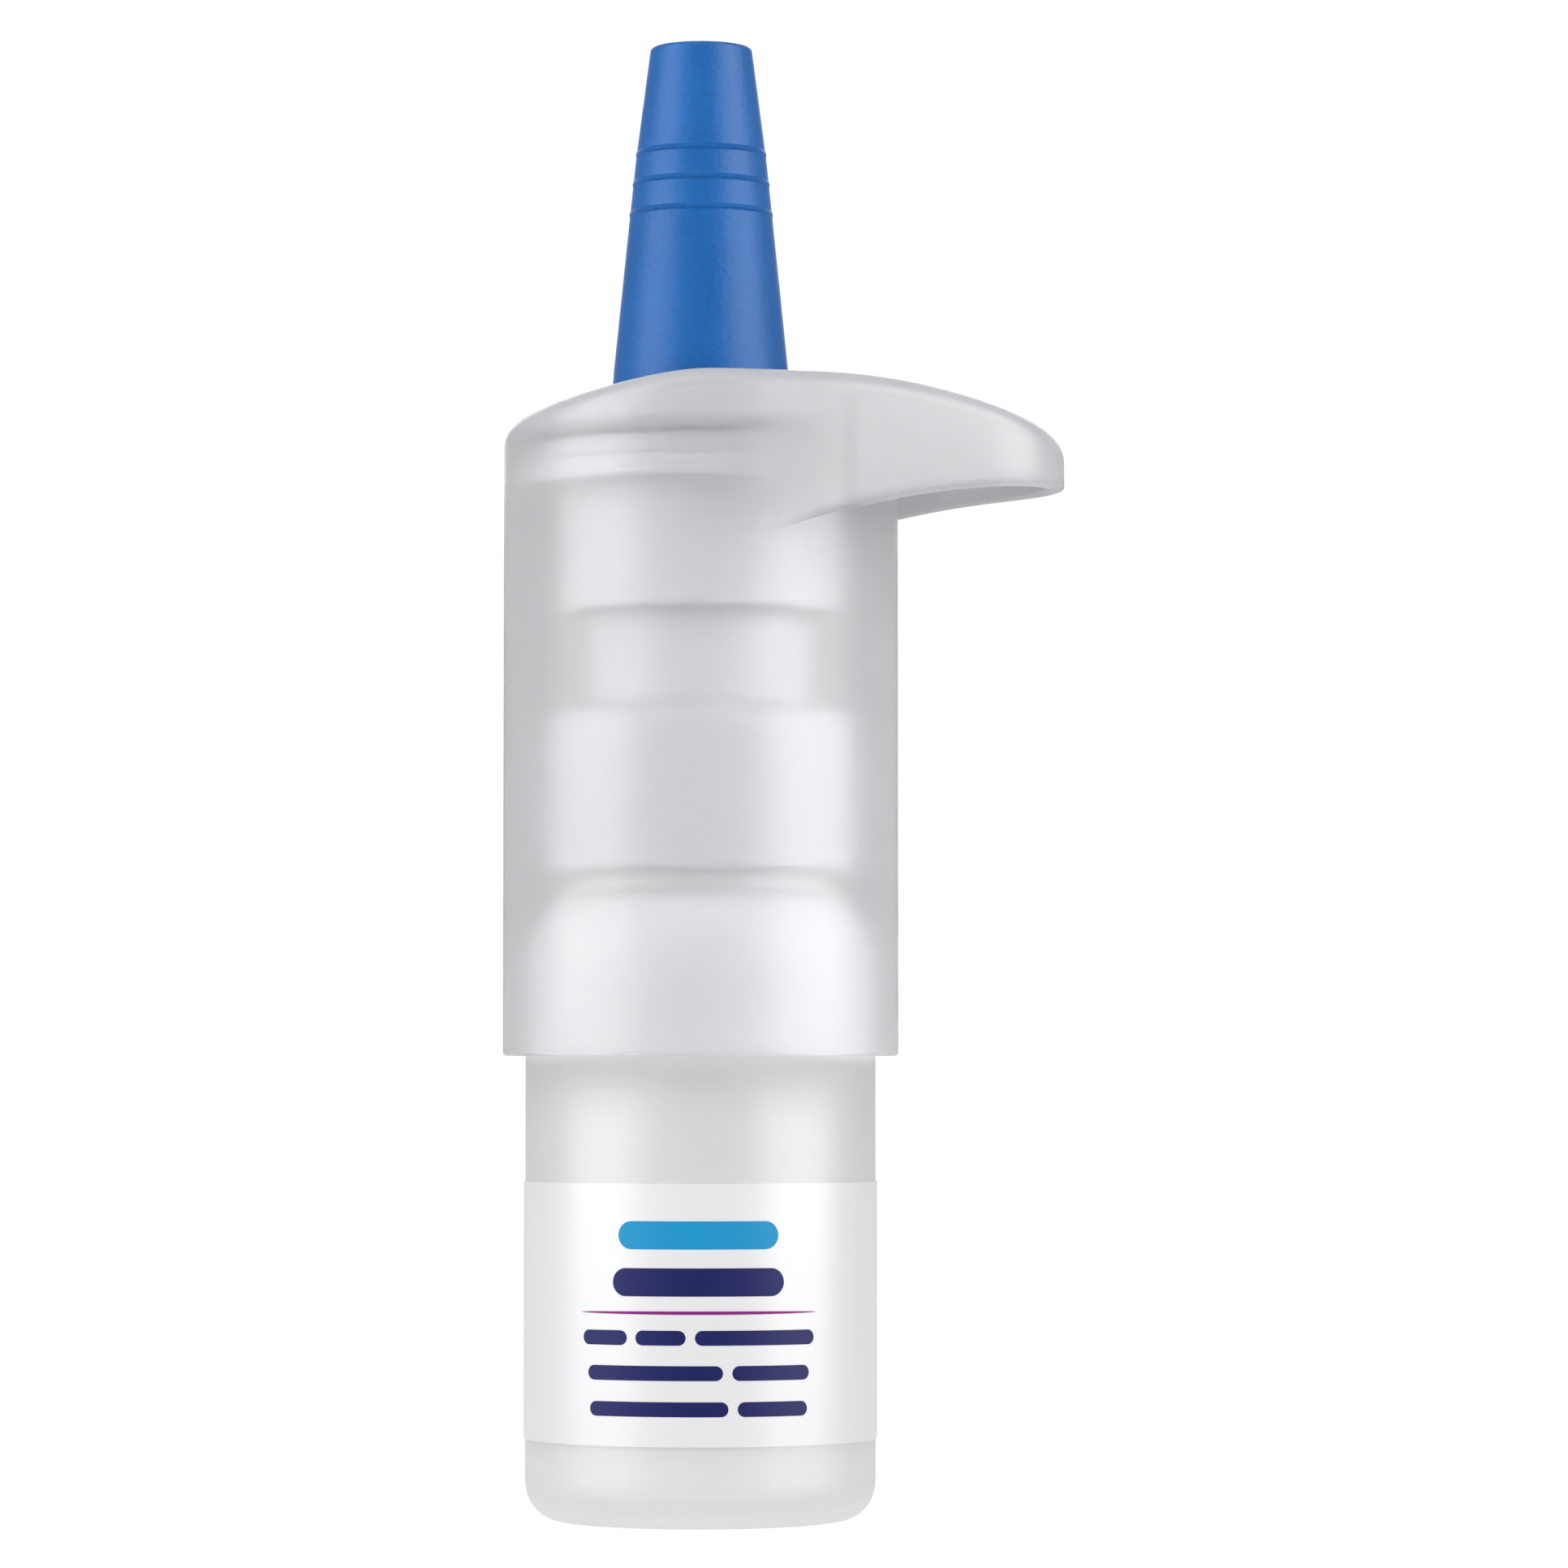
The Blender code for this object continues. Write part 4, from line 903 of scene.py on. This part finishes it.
def sleeve_section(point, out, closed):
    """Points up one column, and the range of rows that belongs to the hollow."""
    hollow = closed is not None
    facing = point.normalized()
    wall, bore, hole = (facing * radius for radius in (SLEEVE_RADIUS, SLEEVE_BORE, ROOF_HOLE))
    inset = (point - out * HOOD_WALL).lerp(wall, closed if hollow else 1)
    outward, up = lifted(facing, 0), Vector((0, 0, 1))
    lip = LIP * min((point - inset).length / HOOD_WALL, 1)
    in_hood = (point - wall).length > ON_TUBE
    rim = [rim_height(place.x if in_hood else flank_x) + lip for place in (wall, inset, point)]

    # The tube's outside, from its foot up to the rim.
    rows = quarter(lifted(wall, FOOT_Z), -outward, up, FOOT_ROUNDING)
    rows += [lifted(wall, FOOT_Z + (rim[0] - FOOT_Z) * share) for share in (0.35, 0.7)]
    under = lifted(wall, rim[0])
    rows.append(under)

    # The hollow: up along the tube, across below the roof and down inside the hood's wall.
    first = len(rows)
    gap = (inset - wall).length if hollow else 0
    corner = min(HOLLOW_ROUNDING, gap / 2)
    near, far = (lifted(place, roof_height(place.x) - HOOD_WALL) for place in (wall, inset))
    if hollow:
        across = (far - near).normalized()
        rows.append(under.lerp(near, 0.4))
        rows += quarter(near, -up, across, corner)
        rows += [rows[-1].lerp(far - across * corner, share) for share in (0.25, 0.5, 0.75)]
        rows += quarter(far, -across, -up, corner) + [far.lerp(lifted(inset, rim[1]), 0.6)]
        start = lifted(inset, rim[1])
    else:
        rows += [under] * HOLLOW_ROWS
        start = under
    last = len(rows)

    # The lip, the hood's outside and the rounded edge of the roof.
    stop = lifted(point, rim[2])
    for i in range(LIP_STEPS + 1):
        angle = math.pi * i / LIP_STEPS
        rows.append(start.lerp(stop, (1 - math.cos(angle)) / 2) - up * lip * math.sin(angle))
    rows.append(stop.lerp(lifted(point, roof_height(point.x) - ROOF_EDGE), 0.5))
    for i in range(EDGE_STEPS + 1):
        angle = math.pi / 2 * i / EDGE_STEPS
        place = point - out * ROOF_EDGE * (1 - math.cos(angle))
        rows.append(lifted(place, roof_height(place.x) - ROOF_EDGE * (1 - math.sin(angle))))

    # The roof as far as its hole, its underside, and down the bore.
    edge = point - out * ROOF_EDGE
    for share in (0.12, 0.3, 0.48, 0.66, 0.84):
        place = edge.lerp(hole, share)
        rows.append(lifted(place, roof_height(place.x)))
    rows += quarter(lifted(hole, roof_height(hole.x)), outward, -up, HOLE_ROUNDING)
    inner, outer = (lifted(place, roof_height(place.x) - ROOF_WALL) for place in (hole, bore))
    rows += [inner.lerp(outer, share) for share in (0, 0.03, 0.3, 0.6)]
    rows += quarter(outer, -outward, -up, BORE_ROUNDING)
    rows += [lifted(bore, FOOT_Z + (outer.z - FOOT_Z) * share) for share in (0.7, 0.35)]
    rows += quarter(lifted(bore, FOOT_Z), up, outward, FOOT_ROUNDING)
    return rows, (first, last)


# %% [markdown]
# Now the sections are joined. Where the hood is solid, the hollow's rows all lie on one point, so
# no faces are made there, and the doubled points are merged. A loft in the CAD way would need
# guide curves for the same shape, and a subdivided cage would round off its straight flanks.

# %% The loft
def loft_sleeve():
    shape = bmesh.new()
    outline = hood_outline()
    sections = [sleeve_section(*column) for column in outline]
    grid = [[shape.verts.new(p * MM) for p in rows] for rows, _ in sections]
    first, last = sections[0][1]
    for i, column in enumerate(grid):
        j = (i + 1) % len(grid)
        hollow = outline[i][2] is not None and outline[j][2] is not None
        for row in range(len(column)):
            if first - 1 <= row < last and not hollow:
                continue
            above = (row + 1) % len(column)
            shape.faces.new((column[row], grid[j][row], grid[j][above], column[above]))
    bmesh.ops.remove_doubles(shape, verts=shape.verts, dist=CLOSE)
    bmesh.ops.recalc_face_normals(shape, faces=shape.faces)
    open_edges = sum(not edge.is_manifold for edge in shape.edges)
    mesh = bpy.data.meshes.new("sleeve_loft")
    shape.to_mesh(mesh)
    shape.free()
    print("The sleeve has", len(mesh.polygons), "faces and", open_edges, "open edges")
    return mesh


sleeve = bpy.data.objects.new("sleeve_hooded", loft_sleeve())
scene.collection.objects.link(sleeve)
sleeve.data.materials.append(frosted.material)
shade(sleeve)
stand_for(sleeve, "sleeve")

# %% [markdown]
# ## The label
#
# The label is a thin film wrapped once round the bottle. It overlaps itself at the back, where the
# outer end climbs over the inner one. The recipe bends a flat box: its length becomes the angle,
# and a smooth step near the end lifts it by a little more than its own thickness.

# %% The wrapping recipe
LABEL_RADIUS = 11.52 * MM
LABEL_FILM = 0.08 * MM
LABEL_COLUMNS = 181
OVERLAP = math.radians(16)
OVERLAP_LIFT = 1.15              # how far the outer end is lifted, in thicknesses of the film
CLIMB_LEAD = 0.6                 # how early its climb starts, as a share of the overlap
SEAM_ANGLE = math.radians(115)   # from +X, so at the back and a little to the left
UNIT = (1, 1, 1)

wrapping = Recipe(
    "wrap a film", Radius=LENGTH, Film=LENGTH, Foot=LENGTH, Height=LENGTH, Overlap=NUMBER
)
strip = wrapping.node(
    "GeometryNodeMeshCube", {},
    {"Size": UNIT, "Vertices X": LABEL_COLUMNS, "Vertices Y": 2, "Vertices Z": 3}, "Mesh",
)
flat = wrapping.node("GeometryNodeInputPosition", {}, {})
length, depth, rise = flat.parts()
overlap, thickness = wrapping.size("Overlap"), wrapping.size("Film")
reach = (length + 0.5) * (overlap + math.tau)
climbed = ((reach - math.tau) / overlap + CLIMB_LEAD).between(0, 1)
stand_off = climbed * climbed * (3 - 2 * climbed) * thickness * OVERLAP_LIFT
film_radius = wrapping.size("Radius") + (depth + 0.5) * thickness + stand_off
turned_to = reach + SEAM_ANGLE
outside = wrapping.node("GeometryNodeFlipFaces", {}, {"Mesh": strip})
wrapping.end(wrapping.moved(
    outside, film_radius * turned_to.maths("COSINE"), film_radius * turned_to.maths("SINE"),
    wrapping.size("Foot") + (rise + 0.5) * wrapping.size("Height"),
))

# %% The label
label_foot, label_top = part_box("label")
label = wrapping.make(
    "label_wrap", bpy.data.meshes.new("label"), Radius=LABEL_RADIUS, Film=LABEL_FILM,
    Foot=label_foot.z, Height=label_top.z - label_foot.z, Overlap=OVERLAP, Finish=film.material,
)
shade(label)
stand_for(label, "label")

# %% [markdown]
# ## Print on the label
#
# The print is plain bars: two large ones, a thin rule that fades towards its ends, and three rows
# of small ones. Each bar is one point that says how long, high and round it is. The recipe puts a
# block on every point, rounds its ends and bends it round the label.

# %% The printing recipe
BAR_COLUMNS = 41
END_WIDTH = 0.0002               # keeps a bar's ends from closing to a line
VECTORS = {"data_type": "FLOAT_VECTOR", "domain": "POINT"}

printing = Recipe("print bars", Radius=LENGTH, Ink=LENGTH)
where = printing.node("GeometryNodeInputPosition", {}, {})


def store(geometry, name):
    """The geometry with each point's own place kept under a name."""
    values = {"Geometry": geometry, "Name": name, "Value": where}
    return printing.node("GeometryNodeStoreNamedAttribute", VECTORS, values)


def stored(name, kind="FLOAT"):
    return printing.node("GeometryNodeInputNamedAttribute", {"data_type": kind}, {"Name": name})


block = printing.node(
    "GeometryNodeMeshCube", {},
    {"Size": UNIT, "Vertices X": BAR_COLUMNS, "Vertices Y": 2, "Vertices Z": 2}, "Mesh",
)
marked = store(printing.size("Geometry"), "spot")
cloud = printing.node("GeometryNodeMeshToPoints", {}, {"Mesh": marked})
blocks = printing.node(
    "GeometryNodeInstanceOnPoints", {}, {"Points": cloud, "Instance": store(block, "block")}
)
loose = printing.node("GeometryNodeRealizeInstances", {}, {"Geometry": blocks})

across, proud, upward = stored("block", "FLOAT_VECTOR").parts()
left, _, bar_level = stored("spot", "FLOAT_VECTOR").parts()
bar_length, bar_height, taper = stored("bar_length"), stored("bar_height"), stored("bar_taper")
sweep = (across + 0.5) * math.pi
along = sweep.maths("COSINE") * bar_length * -0.5
past = ((along.maths("ABSOLUTE") - bar_length * 0.5 + taper) / taper).between(0, 1)
narrowing = (1 + END_WIDTH - past * past).maths("SQRT")
round_angle = (left + along) / printing.size("Radius")
ink_radius = printing.size("Radius") + (0.5 - proud) * printing.size("Ink")
printing.end(printing.moved(
    loose, ink_radius * round_angle.maths("SINE"), ink_radius * round_angle.maths("COSINE") * -1,
    bar_level + upward * bar_height * narrowing,
))

# %% [markdown]
# The rows stand at heights read off the photograph, each in its ink. Every ink is a piece of its
# own, because a recipe sets one finish. The bars ride on the bottle's body, as the label does.

# %% Where the bars stand
INK = 0.012 * MM
BAR_GAP = 0.6                    # millimetres, as is all in ROWS
# Each row: ink, middle height, bar height, taper, and the lengths of its bars from left to right.
ROWS = (
    (cyan_ink, 18.9, 1.8, 0.9, (10.6,)),
    (navy_ink, 15.9, 1.8, 0.9, (11.4,)),
    (magenta_ink, 13.95, 0.22, 8.1, (16.3,)),
    (navy_ink, 12.35, 0.95, 0.47, (3.3, 3.3, 8.2)),
    (navy_ink, 10.1, 0.95, 0.47, (9.2, 5.4)),
    (navy_ink, 7.8, 0.95, 0.47, (9.4, 4.9)),
)


def print_bars(name, ink):
    """All bars of one ink, as one piece."""
    spots, lengths, heights, tapers = [], [], [], []
    for row_ink, level, height, taper, bars in ROWS:
        if row_ink is not ink:
            continue
        start = -(sum(bars) + BAR_GAP * (len(bars) - 1)) / 2
        for bar in bars:
            spots.append(((start + bar / 2) * MM, 0, level * MM))
            lengths.append(bar * MM)
            heights.append(height * MM)
            tapers.append(min(taper, bar / 2) * MM)
            start += bar + BAR_GAP
    mesh = bpy.data.meshes.new(name)
    mesh.from_pydata(spots, [], [])
    for label, values in (("bar_length", lengths), ("bar_height", heights), ("bar_taper", tapers)):
        mesh.attributes.new(label, "FLOAT", "POINT").data.foreach_set("value", values)
    printed = printing.make(
        name, mesh, Radius=LABEL_RADIUS + LABEL_FILM, Ink=INK, Finish=ink.material
    )
    shade(printed)
    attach(printed, "bottle_body")
    print(name, "has", len(spots), "bars")


print_bars("print_cyan", cyan_ink)
print_bars("print_navy", navy_ink)
print_bars("print_magenta", magenta_ink)

# %% [markdown]
# ## Sizes
#
# The dressed object's box and the solids' own box, both printed here. The dressed object has
# to stay inside the solids' own box.

# %% The sizes
scene_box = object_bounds()
sizes = {"cad": [list(v) for v in cad_box], "scene": [list(v) for v in scene_box]}
print("Sizes in mm:", [[round(c / MM, 2) for c in v] for box in sizes.values() for v in box])
